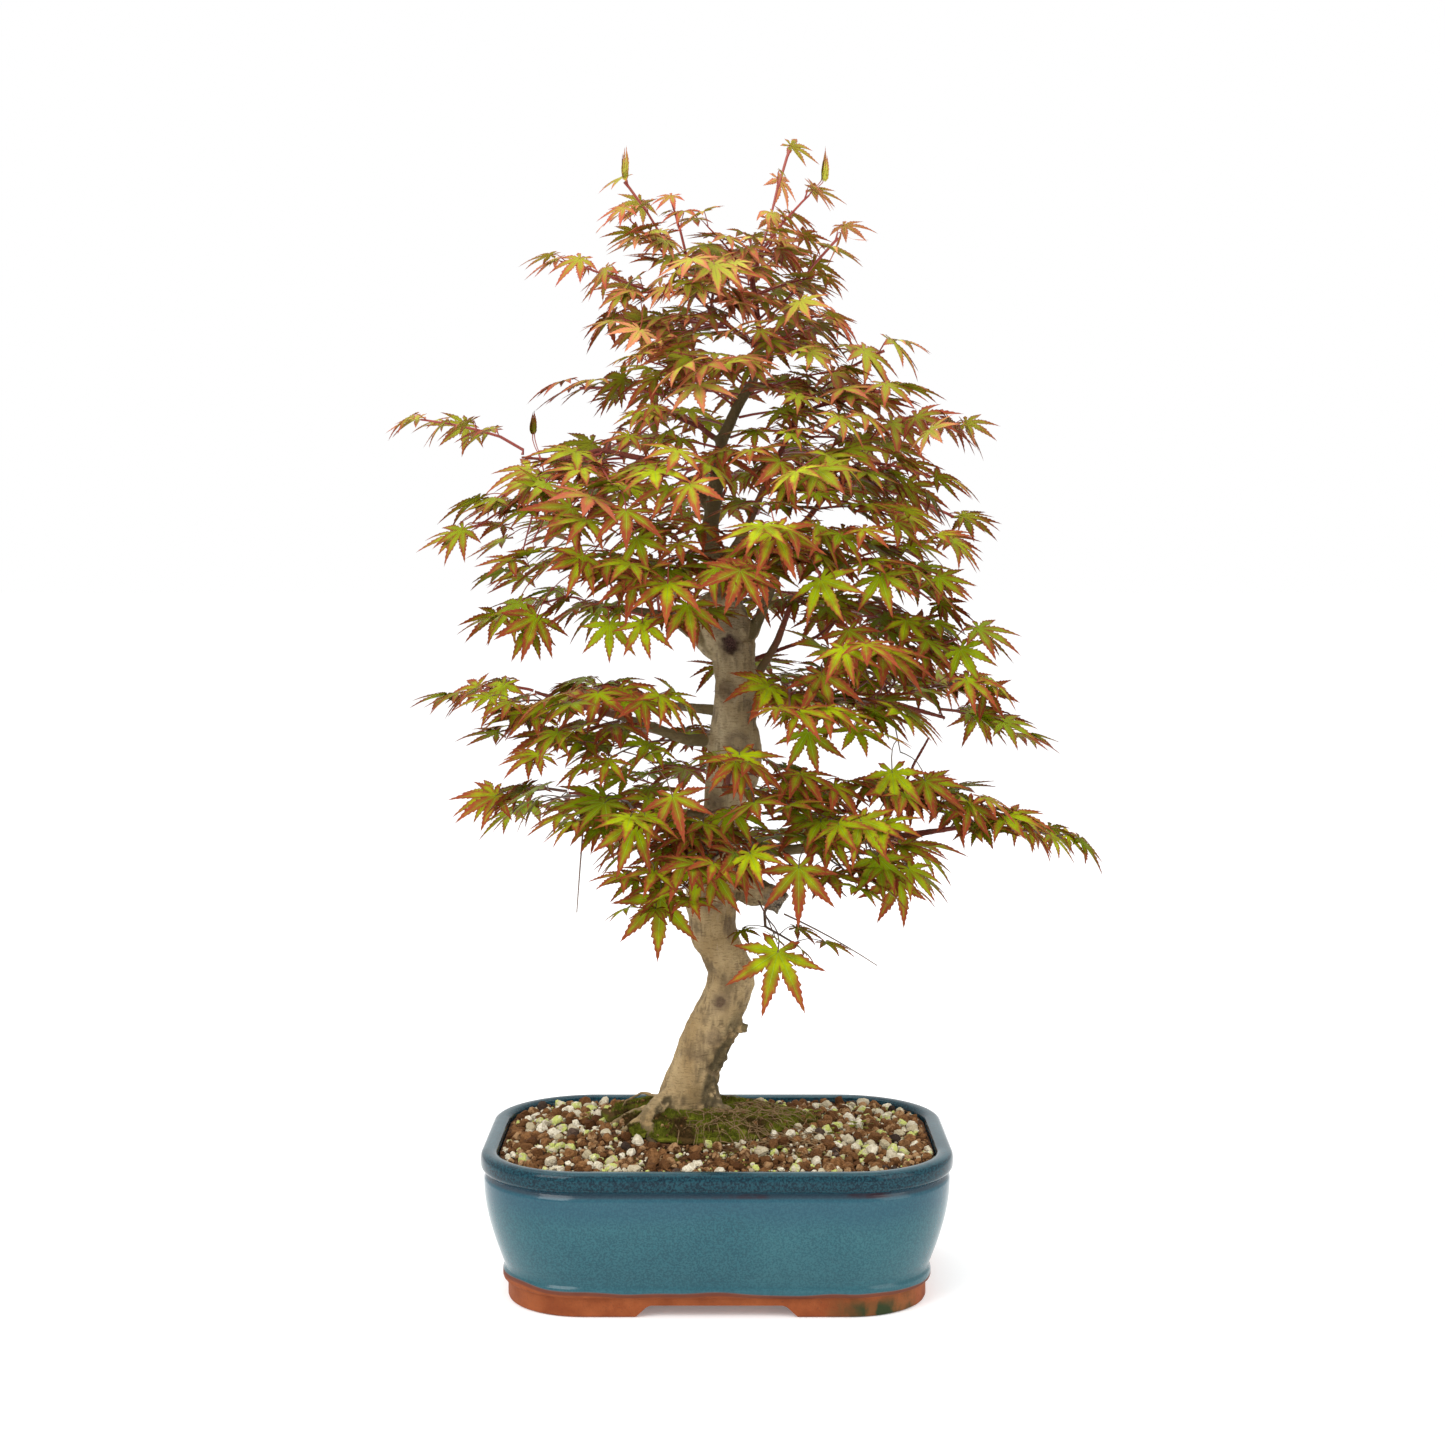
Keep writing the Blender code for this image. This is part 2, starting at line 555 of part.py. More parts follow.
def trunk_pocket():
    """The room that the foot of the tree and its roots take in the soil, a gap wider all round."""
    pocket = None
    for name, points, radii, resolution in trunk_parts():
        if name != "trunk" and not name.startswith("root"):
            continue
        if name == "trunk":
            points, radii = points[:5], radii[:5]
        points = [points[0] + (points[0] - points[1]).normalized() * 2 * GAP, *points[1:-1],
                  points[-1] + (points[-1] - points[-2]).normalized() * 2 * GAP]
        piece = tube(name, points, [radius + 1.6 * GAP for radius in radii], resolution)
        if pocket is None:
            pocket = piece
        else:
            boolean(pocket, piece, "UNION")
    return pocket


# ---------------------------------------------------------------- leafy shoots
class Shoot:
    """One leafy shoot: its twig's rings, and the leaves found room for so far."""

    def __init__(self, name, leaf, rings, nodes, frames):
        self.name = name
        self.leaf = leaf
        self.rings = rings
        self.nodes = nodes
        self.frames = frames
        self.leaves = {}


def bezier(points, share):
    """A point on the Bezier curve of four points."""
    a, b, c, d = points
    rest = 1 - share
    return a * rest**3 + b * 3 * rest**2 * share + c * 3 * rest * share**2 + d * share**3


def square_ring(centre, side, up, half):
    return [centre - side * half - up * half, centre + side * half - up * half,
            centre + side * half + up * half, centre - side * half + up * half]


def make_shoot(name, pairs, leaf, start, end, bark):
    """Lay out a twig from the nearest bark, through its start, to its end."""
    root, normal, _, _ = bark.find_nearest(start)
    base = root + normal * 1.6 * GAP
    leave = base + normal * 0.003
    reach = (end - leave).length
    lift = UP * (0.10 * reach)
    control = (leave, start + lift * 0.6 + normal * 0.004, start.lerp(end, 0.55) + lift, end)
    shares = [0.0]
    for pair in range(pairs):
        share = 0.42 + 0.58 * pair / (pairs - 1)
        spread = NODE_LENGTH / reach / 2
        shares += [min(share, 1 - spread) - spread, min(share, 1 - spread) + spread]
    places = [base] + [bezier(control, share) for share in shares]
    tangents = [normal]
    for i in range(1, len(places)):
        ahead = places[min(i + 1, len(places) - 1)]
        tangents.append((ahead - places[i - 1]).normalized())
    frames = [None] * len(places)
    side = None
    for i in range(len(places) - 1, -1, -1):
        level = tangents[i].cross(UP)
        if i > 1 and level.length > 0.3:
            fresh = level.normalized()
        elif side is None:
            fresh = Vector((0, 1, 0)).cross(tangents[i]).normalized()
        else:
            fresh = (side - tangents[i] * side.dot(tangents[i])).normalized()
        if side is not None and fresh.dot(side) < 0:
            fresh = -fresh
        side = fresh
        frames[i] = (tangents[i], side, side.cross(tangents[i]).normalized())
    rings = []
    for i, (place, (_, across, up)) in enumerate(zip(places, frames)):
        half = TWIG_BASE + (TWIG_TIP - TWIG_BASE) * i / (len(places) - 1)
        rings.append(square_ring(place, across, up, half))
    nodes = [2 + 2 * pair for pair in range(pairs)]
    return Shoot(name, leaf, rings, nodes, frames)


def tube_faces(rings):
    """Points and quads of square rings joined in a row, for the clearance tests."""
    points = [point for ring in rings for point in ring]
    faces = [(0, 1, 2, 3)]
    for r in range(len(rings) - 1):
        for i in range(4):
            j = (i + 1) % 4
            faces.append((4 * r + i, 4 * r + j, 4 * r + 4 + j, 4 * r + 4 + i))
    faces.append(tuple(4 * (len(rings) - 1) + i for i in range(4)))
    return points, faces


class Room:
    """Everything laid out so far, as boxes and search trees."""

    def __init__(self):
        self.held = []

    def add(self, owner, points, faces):
        self.held.append((owner, *box_of(points), BVHTree.FromPolygons(points, faces)))

    def free(self, points, faces, skip=None):
        low, high = box_of(points)
        tree = BVHTree.FromPolygons(points, faces)
        for owner, other_low, other_high, other in self.held:
            if owner == skip:
                continue
            if any(low[k] > other_high[k] or high[k] < other_low[k] for k in range(3)):
                continue
            if tree.overlap(other):
                return False
        return True


def box_of(points):
    low = [min(point[k] for point in points) for k in range(3)]
    high = [max(point[k] for point in points) for k in range(3)]
    return low, high


def leaf_points(at, ahead, normal, length, droop, rng, grow=0.0):
    """The leaf's outline from its left foot round to its right, and the top and bottom of its middle."""
    side = ahead.cross(normal).normalized()
    outline = [at - side * (PETIOLE_HALF + grow)]
    spots = []
    for i, (angle, share) in enumerate(LOBES):
        if i:
            spots.append(((angle + LOBES[i - 1][0]) / 2, SINUS * (1.0 if abs(angle) < 50 else 0.85)))
        spots.append((angle + rng.uniform(-4, 4), share * rng.uniform(0.93, 1.06)))
    for angle, share in spots:
        turn = math.radians(angle)
        reach = length * share + grow
        spot = at + (ahead * math.cos(turn) + side * math.sin(turn)) * reach
        outline.append(spot - normal * (droop * length * share * share))
    outline.append(at + side * (PETIOLE_HALF + grow))
    return outline, at + normal * (BLADE_RISE + grow), at - normal * (BLADE_SINK + grow)


def blade_faces(outline, top, bottom):
    points = [*outline, top, bottom]
    last = len(outline) - 1
    faces = []
    for i in range(last):
        faces.append((i, i + 1, last + 1))
        faces.append((i + 1, i, last + 2))
    return points, faces


def try_leaf(shoot, node, hand, room, rng, looseness):
    """One attempt at a leaf on a node's left (-1) or right (+1).  Returns its points, or nothing."""
    tangent, side, _ = shoot.frames[node]
    lower, upper = shoot.rings[node], shoot.rings[node + 1]
    middle = sum(lower + upper, Vector()) / 8
    at_tip = node == shoot.nodes[-1]
    share = shoot.nodes.index(node) / max(1, len(shoot.nodes) - 1)
    forward = math.radians(rng.uniform(52, 70) if at_tip else rng.uniform(15, 45))
    lean = side * hand * math.cos(forward) + tangent * math.sin(forward)
    lean = lean + UP * rng.uniform(0.05, 0.35)
    wander = Vector((rng.uniform(-1, 1), rng.uniform(-1, 1), rng.uniform(-1, 1)))
    lean = (lean + wander * 0.45 * looseness).normalized()
    length = shoot.leaf * MM * TREE_SCALE * (1.0 - 0.16 * share) * rng.uniform(0.98, 1.22)
    stalk = length * (rng.uniform(0.35, 0.70) - 0.12 * share) * (1 - 0.3 * looseness)
    at = middle + lean * (stalk + TWIG_BASE)
    outward = Vector((at.x - TREE_FOOT[0] * 0.3, at.y, 0))
    outward = outward.normalized() if outward.length > 0.01 else Vector((0, -1, 0))
    flat = Vector((lean.x, lean.y, 0)) * 0.55 + Vector((tangent.x, tangent.y, 0)) * 0.35 + outward * 0.55
    stray = Vector((rng.uniform(-1, 1), rng.uniform(-1, 1), 0)) * (0.25 + 0.5 * looseness)
    flat = (flat + stray).normalized()
    steep = 12 if shoot.name.startswith("apex") else 0
    pitch = math.radians(rng.uniform(14, 56) + steep + 8 * share + rng.uniform(-15, 25) * looseness)
    ahead = flat * math.cos(pitch) - UP * math.sin(pitch)
    normal = (UP - ahead * UP.dot(ahead)).normalized()
    roll = math.radians(rng.uniform(-22, 22) * (1 + looseness))
    normal = Matrix.Rotation(roll, 3, ahead) @ normal
    droop = rng.uniform(0.14, 0.34)
    state = rng.getstate()
    outline, top, bottom = leaf_points(at, ahead, normal, length, droop, rng)
    rng.setstate(state)
    wide = leaf_points(at, ahead, normal, length, droop, rng, LEAF_CLEARANCE)
    blade = blade_faces(*wide)
    k, n = (3, 0) if hand < 0 else (1, 2)
    quad = [lower[k], lower[n], upper[n], upper[k]]
    foot = [outline[0], top, outline[-1], bottom]
    stalk_shape = tube_faces([quad, best_match(quad, foot)])
    if not room.free(*blade) or not room.free(*stalk_shape, skip=shoot.name):
        return None
    if min(point.z for point in outline) < POT_HEIGHT + LOWEST_LEAF:
        return None
    return outline, top, bottom, blade, stalk_shape


def best_match(ring, foot):
    """The leaf's foot, in the order that pairs it up with a ring and doesn't turn the stalk inside out."""
    back = foot[::-1]
    turns = [back[k:] + back[:k] for k in range(4)]
    return min(turns, key=lambda t: sum((a - b).length_squared for a, b in zip(ring, t)))


def place_leaves(shoots, room):
    """Give every node of every shoot a pair of leaves, wherever there is room for them."""
    for shoot in shoots:
        rng = random.Random(f"{SEED} {shoot.name}")
        for node in shoot.nodes[::-1]:
            for hand in (-1, 1):
                for attempt in range(LEAF_TRIES):
                    looseness = attempt / LEAF_TRIES
                    found = try_leaf(shoot, node, hand, room, rng, looseness)
                    if found:
                        outline, top, bottom, blade, stalk = found
                        room.add(shoot.name + "_leaf", *blade)
                        room.add(shoot.name + "_leaf", *stalk)
                        shoot.leaves[(node, hand)] = (outline, top, bottom)
                        break


def make_spray(shoot):
    """The closed body of a shoot: its twig, a stalk and a blade for each leaf, and the bud at its tip."""
    bm = bmesh.new()
    loops = [[bm.verts.new(point) for point in ring] for ring in shoot.rings]
    bm.faces.new(loops[0][::-1])
    for i, (lower, upper) in enumerate(zip(loops, loops[1:])):
        for k in range(4):
            n = (k + 1) % 4
            hand = {3: -1, 1: 1}.get(k)
            quad = (lower[k], lower[n], upper[n], upper[k])
            if (i, hand) in shoot.leaves:
                add_leaf(bm, quad, *shoot.leaves[(i, hand)])
            else:
                bm.faces.new(quad)
    tangent = shoot.frames[-1][0]
    tip = bm.verts.new(sum(shoot.rings[-1], Vector()) / 4 + tangent * BUD_LENGTH)
    for k in range(4):
        bm.faces.new((loops[-1][k], loops[-1][(k + 1) % 4], tip))
    name = "leaf_spray_" + shoot.name
    return finish(object_from(name, bm), ("leaf", (0.20, 0.30, 0.04)), 0.55, 30.0)


def add_leaf(bm, quad, outline, top, bottom):
    """A stalk from a twig's side to a leaf's foot, and the leaf itself."""
    rim = [bm.verts.new(point) for point in outline]
    above, below = bm.verts.new(top), bm.verts.new(bottom)
    foot = [rim[0], above, rim[-1], below]
    order = best_match([v.co for v in quad], [v.co for v in foot])
    match = [next(v for v in foot if (v.co - spot).length < 1e-9) for spot in order]
    for k in range(4):
        n = (k + 1) % 4
        bm.faces.new((quad[k], quad[n], match[n], match[k]))
    for a, b in zip(rim, rim[1:]):
        bm.faces.new((a, b, above))
        bm.faces.new((b, a, below))


def make_sprays(trunk):
    bark = BVHTree.FromObject(trunk, bpy.context.evaluated_depsgraph_get())
    rng = random.Random(SEED)
    room = Room()
    mesh = trunk.data
    room.add("bark", [v.co.copy() for v in mesh.vertices], [tuple(p.vertices) for p in mesh.polygons])
    shoots = []
    for name, (pairs, leaf, start, end) in SPRAYS.items():
        for attempt in range(SHOOT_TRIES):
            shift = Vector([rng.uniform(-1, 1) for _ in range(3)]) * (0.002 * attempt)
            shoot = make_shoot(name, pairs, leaf, tree_point(start) + shift, tree_point(end) + shift, bark)
            shape = tube_faces(shoot.rings)
            if room.free(*shape):
                break
        room.add(name, *shape)
        shoots.append(shoot)
    place_leaves(shoots, room)
    print("leaves:", sum(len(shoot.leaves) for shoot in shoots), "on", len(shoots), "shoots")
    return [make_spray(shoot) for shoot in shoots]


# ---------------------------------------------------------------- the whole object
def centre_on_origin(objects):
    """Move every mesh so that the origin is under the middle of the whole object."""
    corners = [v.co for obj in objects for v in obj.data.vertices]
    low, high = box_of(corners)
    shift = Matrix.Translation((-(low[0] + high[0]) / 2, -(low[1] + high[1]) / 2, 0))
    for obj in objects:
        obj.data.transform(shift)


def main():
    clear_scene()
    make_pot()
    for word, x in zip(("left", "right"), drain_places()):
        make_drain_mesh("drain_mesh_" + word, x)
        make_clip("mesh_clip_" + word, x)
    trunk = make_trunk()
    soil = make_soil()
    moss = make_moss(soil)
    for layer in (soil, moss):
        boolean(layer, trunk_pocket(), "DIFFERENCE")
        keep_largest(layer)
    finish(soil, ("soil", (0.16, 0.08, 0.04)), 0.95)
    finish(moss, ("moss", (0.10, 0.14, 0.02)), 0.95, 60.0)
    make_sprays(trunk)
    centre_on_origin(list(bpy.data.objects))


main()
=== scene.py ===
# %% [markdown]
# # A bonsai maple in a glazed oblong pot
#
# The imported model is the fixed frame of this scene. It has a pot with screened drain holes, a mound of
# soil, a cushion of moss, a trunk with its limbs, and some fifty sprays whose leaves are plain five-pointed
# stars. Everything below is built round that frame, in metres and in its own place.

# %% Load the frame
import json
import math
import random

import bmesh
import bpy
import numpy as np
from mathutils import Matrix, Vector, noise
from mathutils.bvhtree import BVHTree

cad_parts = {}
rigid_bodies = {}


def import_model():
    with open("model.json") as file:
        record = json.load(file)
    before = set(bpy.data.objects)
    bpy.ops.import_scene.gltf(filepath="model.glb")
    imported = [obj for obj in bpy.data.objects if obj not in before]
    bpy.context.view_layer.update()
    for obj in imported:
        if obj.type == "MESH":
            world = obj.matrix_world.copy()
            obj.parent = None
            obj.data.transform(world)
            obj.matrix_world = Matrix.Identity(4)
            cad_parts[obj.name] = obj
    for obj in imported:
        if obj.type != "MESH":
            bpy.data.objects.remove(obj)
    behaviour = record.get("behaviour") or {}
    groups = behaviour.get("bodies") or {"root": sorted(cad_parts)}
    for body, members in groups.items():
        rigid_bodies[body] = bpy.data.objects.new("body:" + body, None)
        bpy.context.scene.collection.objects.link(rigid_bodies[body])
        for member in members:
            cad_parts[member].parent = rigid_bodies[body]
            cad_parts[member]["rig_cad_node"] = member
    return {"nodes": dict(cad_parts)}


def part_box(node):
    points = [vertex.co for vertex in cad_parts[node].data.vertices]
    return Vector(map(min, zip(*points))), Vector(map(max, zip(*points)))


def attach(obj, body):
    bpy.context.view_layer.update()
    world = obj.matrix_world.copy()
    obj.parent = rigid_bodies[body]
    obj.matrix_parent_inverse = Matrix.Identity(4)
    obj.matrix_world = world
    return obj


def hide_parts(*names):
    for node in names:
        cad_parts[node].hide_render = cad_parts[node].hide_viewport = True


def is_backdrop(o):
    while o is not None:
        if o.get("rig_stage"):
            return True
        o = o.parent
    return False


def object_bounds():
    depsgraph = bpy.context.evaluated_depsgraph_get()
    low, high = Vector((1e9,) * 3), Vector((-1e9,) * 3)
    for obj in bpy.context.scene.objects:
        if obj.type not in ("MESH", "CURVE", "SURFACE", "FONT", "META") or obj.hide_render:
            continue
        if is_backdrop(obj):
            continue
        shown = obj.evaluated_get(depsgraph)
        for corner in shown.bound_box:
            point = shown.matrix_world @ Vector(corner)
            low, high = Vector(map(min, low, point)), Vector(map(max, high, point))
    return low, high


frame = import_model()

for leftover in [o for o in bpy.data.objects if o.type != "EMPTY" and "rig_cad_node" not in o]:
    bpy.data.objects.remove(leftover, do_unlink=True)

NODES = frame["nodes"]
MM = 0.001
ROUND = 6.28  # once round, in radians
UP = Vector((0, 0, 1))
CAD_BOX = [list(corner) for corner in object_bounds()]
POT_LOW, POT_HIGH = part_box("pot")
POT_X = (POT_LOW.x + POT_HIGH.x) / 2
POT_Y = (POT_LOW.y + POT_HIGH.y) / 2


def place(x, y, z):
    """A point given in mm from the middle of the pot, at the table."""
    return Vector((POT_X + x * MM, POT_Y + y * MM, z * MM))


def as_mesh(name, bm):
    """A mesh made from a bmesh, which is used up."""
    mesh = bpy.data.meshes.new(name)
    bm.to_mesh(mesh)
    bm.free()
    return mesh


def add_object(name, data, where=(0, 0, 0)):
    """An object in the scene that shows a mesh, a lamp or a camera."""
    made = bpy.data.objects.new(name, data)
    made.location = where
    bpy.context.scene.collection.objects.link(made)
    return made


print("frame", [round(b - a, 3) for a, b in zip(*CAD_BOX)], "pot at", round(POT_X, 4), round(POT_Y, 4))

# %% [markdown]
# ## Camera, floor and light
#
# A potted tree is best seen from a little above the rim, from far enough away that the pot keeps its shape.
# A wide floor and a bright surround give the soft, nearly shadowless light of a studio, and three large lamps
# give it a direction and put highlights on the glaze.

# %% Camera
EYE = place(3.3, -1375, 434)
LOOK_DOWN = 4.02  # degrees
LENS, SENSOR = 57.08, 36.0  # mm
camera_data = bpy.data.cameras.new("camera")
camera_data.lens = LENS
camera_data.sensor_width = SENSOR
camera = add_object("camera", camera_data, EYE)
camera.rotation_euler = (math.radians(90 - LOOK_DOWN), 0, 0)
bpy.context.scene.camera = camera
bpy.context.scene.view_settings.view_transform = "Standard"


# %% Floor and lamps
def softbox(name, where, towards, width, height, power):
    """A rectangular lamp that faces a point."""
    data = bpy.data.lights.new(name, "AREA")
    data.shape = "RECTANGLE"
    data.size = width
    data.size_y = height
    data.energy = power
    add_object(name, data, where).rotation_euler = (towards - where).to_track_quat("-Z", "Y").to_euler()


FLOOR_REACH = 30.0
bm = bmesh.new()
bmesh.ops.create_grid(bm, x_segments=1, y_segments=1, size=FLOOR_REACH)
floor = add_object("floor", as_mesh("floor", bm), place(0, 0, -0.2))
floor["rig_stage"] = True

CROWN_MIDDLE = place(20, 0, 380)
softbox("key_softbox", place(-1100, -1300, 1500), CROWN_MIDDLE, 1.2, 1.2, 24)
softbox("fill_softbox", place(1300, -900, 900), CROWN_MIDDLE, 1.0, 1.4, 9)
softbox("top_softbox", place(0, 100, 1900), CROWN_MIDDLE, 1.8, 1.8, 15)

world = bpy.data.worlds.new("studio")
world.use_nodes = True
backdrop = world.node_tree.nodes["Background"].inputs
backdrop["Color"].default_value = (1.0, 1.0, 1.0, 1.0)
backdrop["Strength"].default_value = 1.0
bpy.context.scene.world = world

# %% [markdown]
# ## A way to write finishes
#
# Every finish is a small tree of nodes in front of one Principled shader. Writing such trees is repetitive,
# so a short class does the wiring: each method adds one node and returns the socket that comes out of it.


# %% The finish writer
class Finish:
    """One material: numbers that are the same all over go straight on the shader, the rest is wired to it."""

    def __init__(self, name, **plain):
        self.material = bpy.data.materials.new(name)
        self.material.use_nodes = True
        self.nodes = self.material.node_tree.nodes
        self.links = self.material.node_tree.links
        self.shader = self.nodes["Principled BSDF"]
        for socket, value in plain.items():
            self.shader.inputs[socket.replace("_", " ")].default_value = value

    def node(self, kind, inputs, **settings):
        made = self.nodes.new(kind)
        for key, value in settings.items():
            setattr(made, key, value)
        for socket, value in inputs.items():
            if isinstance(value, bpy.types.NodeSocket):
                self.links.new(value, made.inputs[socket])
            else:
                made.inputs[socket].default_value = value
        return made

    def attribute(self, name):
        return self.node("ShaderNodeAttribute", {}, attribute_name=name).outputs["Fac"]

    def place(self, scale=(1, 1, 1), shift=(0, 0, 0)):
        """Object coordinates, stretched: a large scale makes a pattern fine along that axis."""
        here = self.node("ShaderNodeTexCoord", {}).outputs["Object"]
        return self.node("ShaderNodeMapping", {"Vector": here, "Scale": scale, "Location": shift}).outputs[0]

    def along_axis(self, axis):
        return self.node("ShaderNodeSeparateXYZ", {"Vector": self.place()}).outputs[axis]

    def grain(self, scale, detail=4.0, stretch=(1, 1, 1), rough=0.55, warp=0.0):
        inputs = {"Vector": self.place(stretch), "Scale": scale, "Detail": detail, "Roughness": rough}
        inputs["Distortion"] = warp
        return self.node("ShaderNodeTexNoise", inputs).outputs["Fac"]

    def cells(self, scale, stretch=(1, 1, 1), feature="F1", output="Distance"):
        inputs = {"Vector": self.place(stretch), "Scale": scale}
        return self.node("ShaderNodeTexVoronoi", inputs, feature=feature).outputs[output]

    def ramp(self, factor, low, high, out_low=0.0, out_high=1.0):
        """Smoothly from one number to another while the factor goes from low to high."""
        inputs = {"Value": factor, "From Min": low, "From Max": high, "To Min": out_low, "To Max": out_high}
        return self.node("ShaderNodeMapRange", inputs, interpolation_type="SMOOTHSTEP").outputs["Result"]

    def maths(self, operation, a, b=0.0):
        return self.node("ShaderNodeMath", {0: a, 1: b}, operation=operation).outputs[0]

    def times(self, a, b):
        return self.maths("MULTIPLY", a, b)

    def plus(self, a, b):
        return self.maths("ADD", a, b)

    def minus(self, a, b):
        return self.maths("SUBTRACT", a, b)

    def mix(self, factor, a, b, blend="MIX"):
        made = self.node("ShaderNodeMix", {}, data_type="RGBA", blend_type=blend)
        for socket, value in zip((made.inputs[0], made.inputs[6], made.inputs[7]), (factor, a, b)):
            if isinstance(value, bpy.types.NodeSocket):
                self.links.new(value, socket)
            elif isinstance(value, (int, float)):
                socket.default_value = value
            else:
                socket.default_value = (*value, 1.0)
        return made.outputs[2]

    def layers(self, colour, *rows):
        """Colours laid over one another, each by its own amount."""
        for amount, over in rows:
            colour = self.mix(amount, colour, over)
        return colour

    def use(self, socket, value):
        self.links.new(value, self.shader.inputs[socket])

    def bump(self, height, depth, strength=1.0):
        made = self.node("ShaderNodeBump", {"Height": height, "Distance": depth, "Strength": strength})
        self.links.new(made.outputs["Normal"], self.shader.inputs["Normal"])


def studio_white():
    glow = {"Emission_Color": (1.0, 1.0, 1.0, 1.0), "Emission_Strength": 0.16}
    white = Finish("studio_white", Roughness=0.9, Specular_IOR_Level=0.0, **glow)
    white.use("Base Color", white.mix(white.grain(0.7, 2.0), (0.90, 0.90, 0.90), (0.92, 0.92, 0.92)))
    return white.material


floor.data.materials.append(studio_white())


# %% Piece helpers
def new_piece(name, bm, finishes, smooth=35.0):
    """A bmesh made into an object at the origin, with its finishes."""
    return dress(add_object(name, as_mesh(name, bm)), finishes, smooth)


def dress(piece, finishes, smooth=35.0):
    """Give a piece its finishes and smooth shading, but sharp where it turns by more than so many degrees."""
    for finish in finishes:
        piece.data.materials.append(finish)
    piece.data.shade_smooth()
    if smooth:
        piece.data.set_sharp_from_angle(angle=math.radians(smooth))
    return piece


def ride_as(piece, slot, *replaced):
    """Hang the piece on the frame's one body, and hide the CAD nodes it may stand for; the slot is not used.
    """
    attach(piece, "root")
    if replaced:
        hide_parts(*replaced)


def merged(node_name):
    """A bmesh of a CAD node with its loose triangles joined up again."""
    bm = bmesh.new()
    bm.from_mesh(NODES[node_name].data)
    bmesh.ops.remove_doubles(bm, verts=bm.verts, dist=1e-6)
    bm.verts.index_update()
    return bm


def middle_of(verts):
    """The mean place of some points, always added up in the same order."""
    ordered = sorted(verts, key=lambda v: v.index)
    return sum((v.co for v in ordered), Vector()) / max(1, len(ordered))


def per_point(mesh, key="co"):
    """The place or the normal of every point of a mesh, as rows of three."""
    values = np.empty(len(mesh.vertices) * 3)
    mesh.vertices.foreach_get(key, values)
    return values.reshape(-1, 3)


def search_tree(bm):
    """For casting rays at a bmesh, which is used up."""
    tree = BVHTree.FromBMesh(bm)
    bm.free()
    return tree


# %% [markdown]
# ## The leaf
#
# A leaf of this maple is a hand of five long lobes and two short ones. Each lobe is a lance with a saw edge
# and a midrib. One lobe is a small grid: its rows are drawn in to a lance, its margin is cut into short
# lengths, and every second point is pulled out as a tooth. Seven lobes turned round the leaf's foot meet
# along their first edges. A second skin, a hair's breadth below and joined at the margin, closes the leaf.
# Modelling one leaf and bending copies of it keeps hundreds of leaves light and all of them different.

# %% One flat leaf, its middle lobe one unit long
LOBE_ANGLES = (-130, -82, -40, 0, 40, 82, 130)
LOBE_LENGTHS = (0.36, 0.72, 0.93, 1.0, 0.93, 0.72, 0.36)
SINUS = 0.23  # where two lobes part
ROWS = (0.0, SINUS, 0.49, 0.75, 1.04)  # along a lobe, as a share of its length
HALF_WIDTHS = (0.0, 0.0, 0.124, 0.056, 0.0)
SMALL_ROWS = (0.0, 0.35, 0.66, 1.0)  # the same along the two lobes at the stalk
TEETH = 4  # points set into each stretch of margin
TOOTH = 0.042  # how far a tooth stands out
TOOTH_LEAN = 1.1  # how far it leans towards the tip
MARGIN_STEP = 0.27  # the length of a stretch of margin
SKIN = 0.0055  # half the leaf's thickness


EDGE_OF_HAND = 1.28  # where the outer margins of the last lobes start, beyond the lobes' own angles
STALK_END = 0.05


def sinus_point(left, right):
    """Where the margins of two neighbouring lobes meet."""
    if left is None or right is None:
        angle = math.radians((LOBE_ANGLES[0] if left is None else LOBE_ANGLES[-1]) * EDGE_OF_HAND)
        return Vector((math.sin(angle) * STALK_END, math.cos(angle) * STALK_END, 0))
    angle = math.radians((LOBE_ANGLES[left] + LOBE_ANGLES[right]) / 2)
    reach = SINUS * min(1.0, 1.25 * min(LOBE_LENGTHS[left], LOBE_LENGTHS[right]))
    return Vector((math.sin(angle) * reach, math.cos(angle) * reach, 0))


def add_lobe(bm, which, layers):
    """A grid two cells wide, drawn to a lance, toothed, and turned to its place."""
    length = LOBE_LENGTHS[which]
    turn = Matrix.Rotation(-math.radians(LOBE_ANGLES[which]), 4, "Z")
    rows = ROWS if length > 0.5 else SMALL_ROWS
    grid = bmesh.ops.create_grid(bm, x_segments=2, y_segments=len(rows) - 1, size=1.0)["verts"]
    before = which - 1 if which else None
    after = which + 1 if which + 1 < len(LOBE_ANGLES) else None
    margin = {}
    for vert in grid:
        row = round((vert.co.y + 1) / 2 * (len(rows) - 1))
        column = round(vert.co.x)
        vert[layers["across"]] = abs(column) * min(row, 1)
        vert[layers["lobe"]] = which
        along = rows[row] * length
        half = (0.5 * HALF_WIDTHS[2] if length < 0.5 else HALF_WIDTHS[row] * length) if row > 1 else 0.0
        if row == len(rows) - 1:
            half = 0.0
        if column and row == 1:
            vert.co = sinus_point(before, which) if column < 0 else sinus_point(which, after)
        else:
            vert.co = turn @ Vector((column * half, along, 0))
        if column:
            margin[vert] = (column, row)
    edges = [e for e in bm.edges if e.verts[0] in margin and e.verts[1] in margin
             and margin[e.verts[0]][0] == margin[e.verts[1]][0]
             and min(margin[v][1] for v in e.verts) >= 1]
    made = bmesh.ops.subdivide_edges(bm, edges=edges, cuts=TEETH)["geom_inner"]
    axis = turn @ Vector((0, 1, 0))
    for vert in [v for v in made if isinstance(v, bmesh.types.BMVert)]:
        along = vert.co.dot(axis)
        out = vert.co - axis * along
        step = round((along / length - SINUS) / MARGIN_STEP * (TEETH + 1))
        size = TOOTH * length * max(0.12, 1.25 - along / length * 1.2)
        vert.co += (out.normalized() + axis * TOOTH_LEAN) * size * (1.0 if step % 2 else -0.35)
        vert[layers["across"]] = 1.0


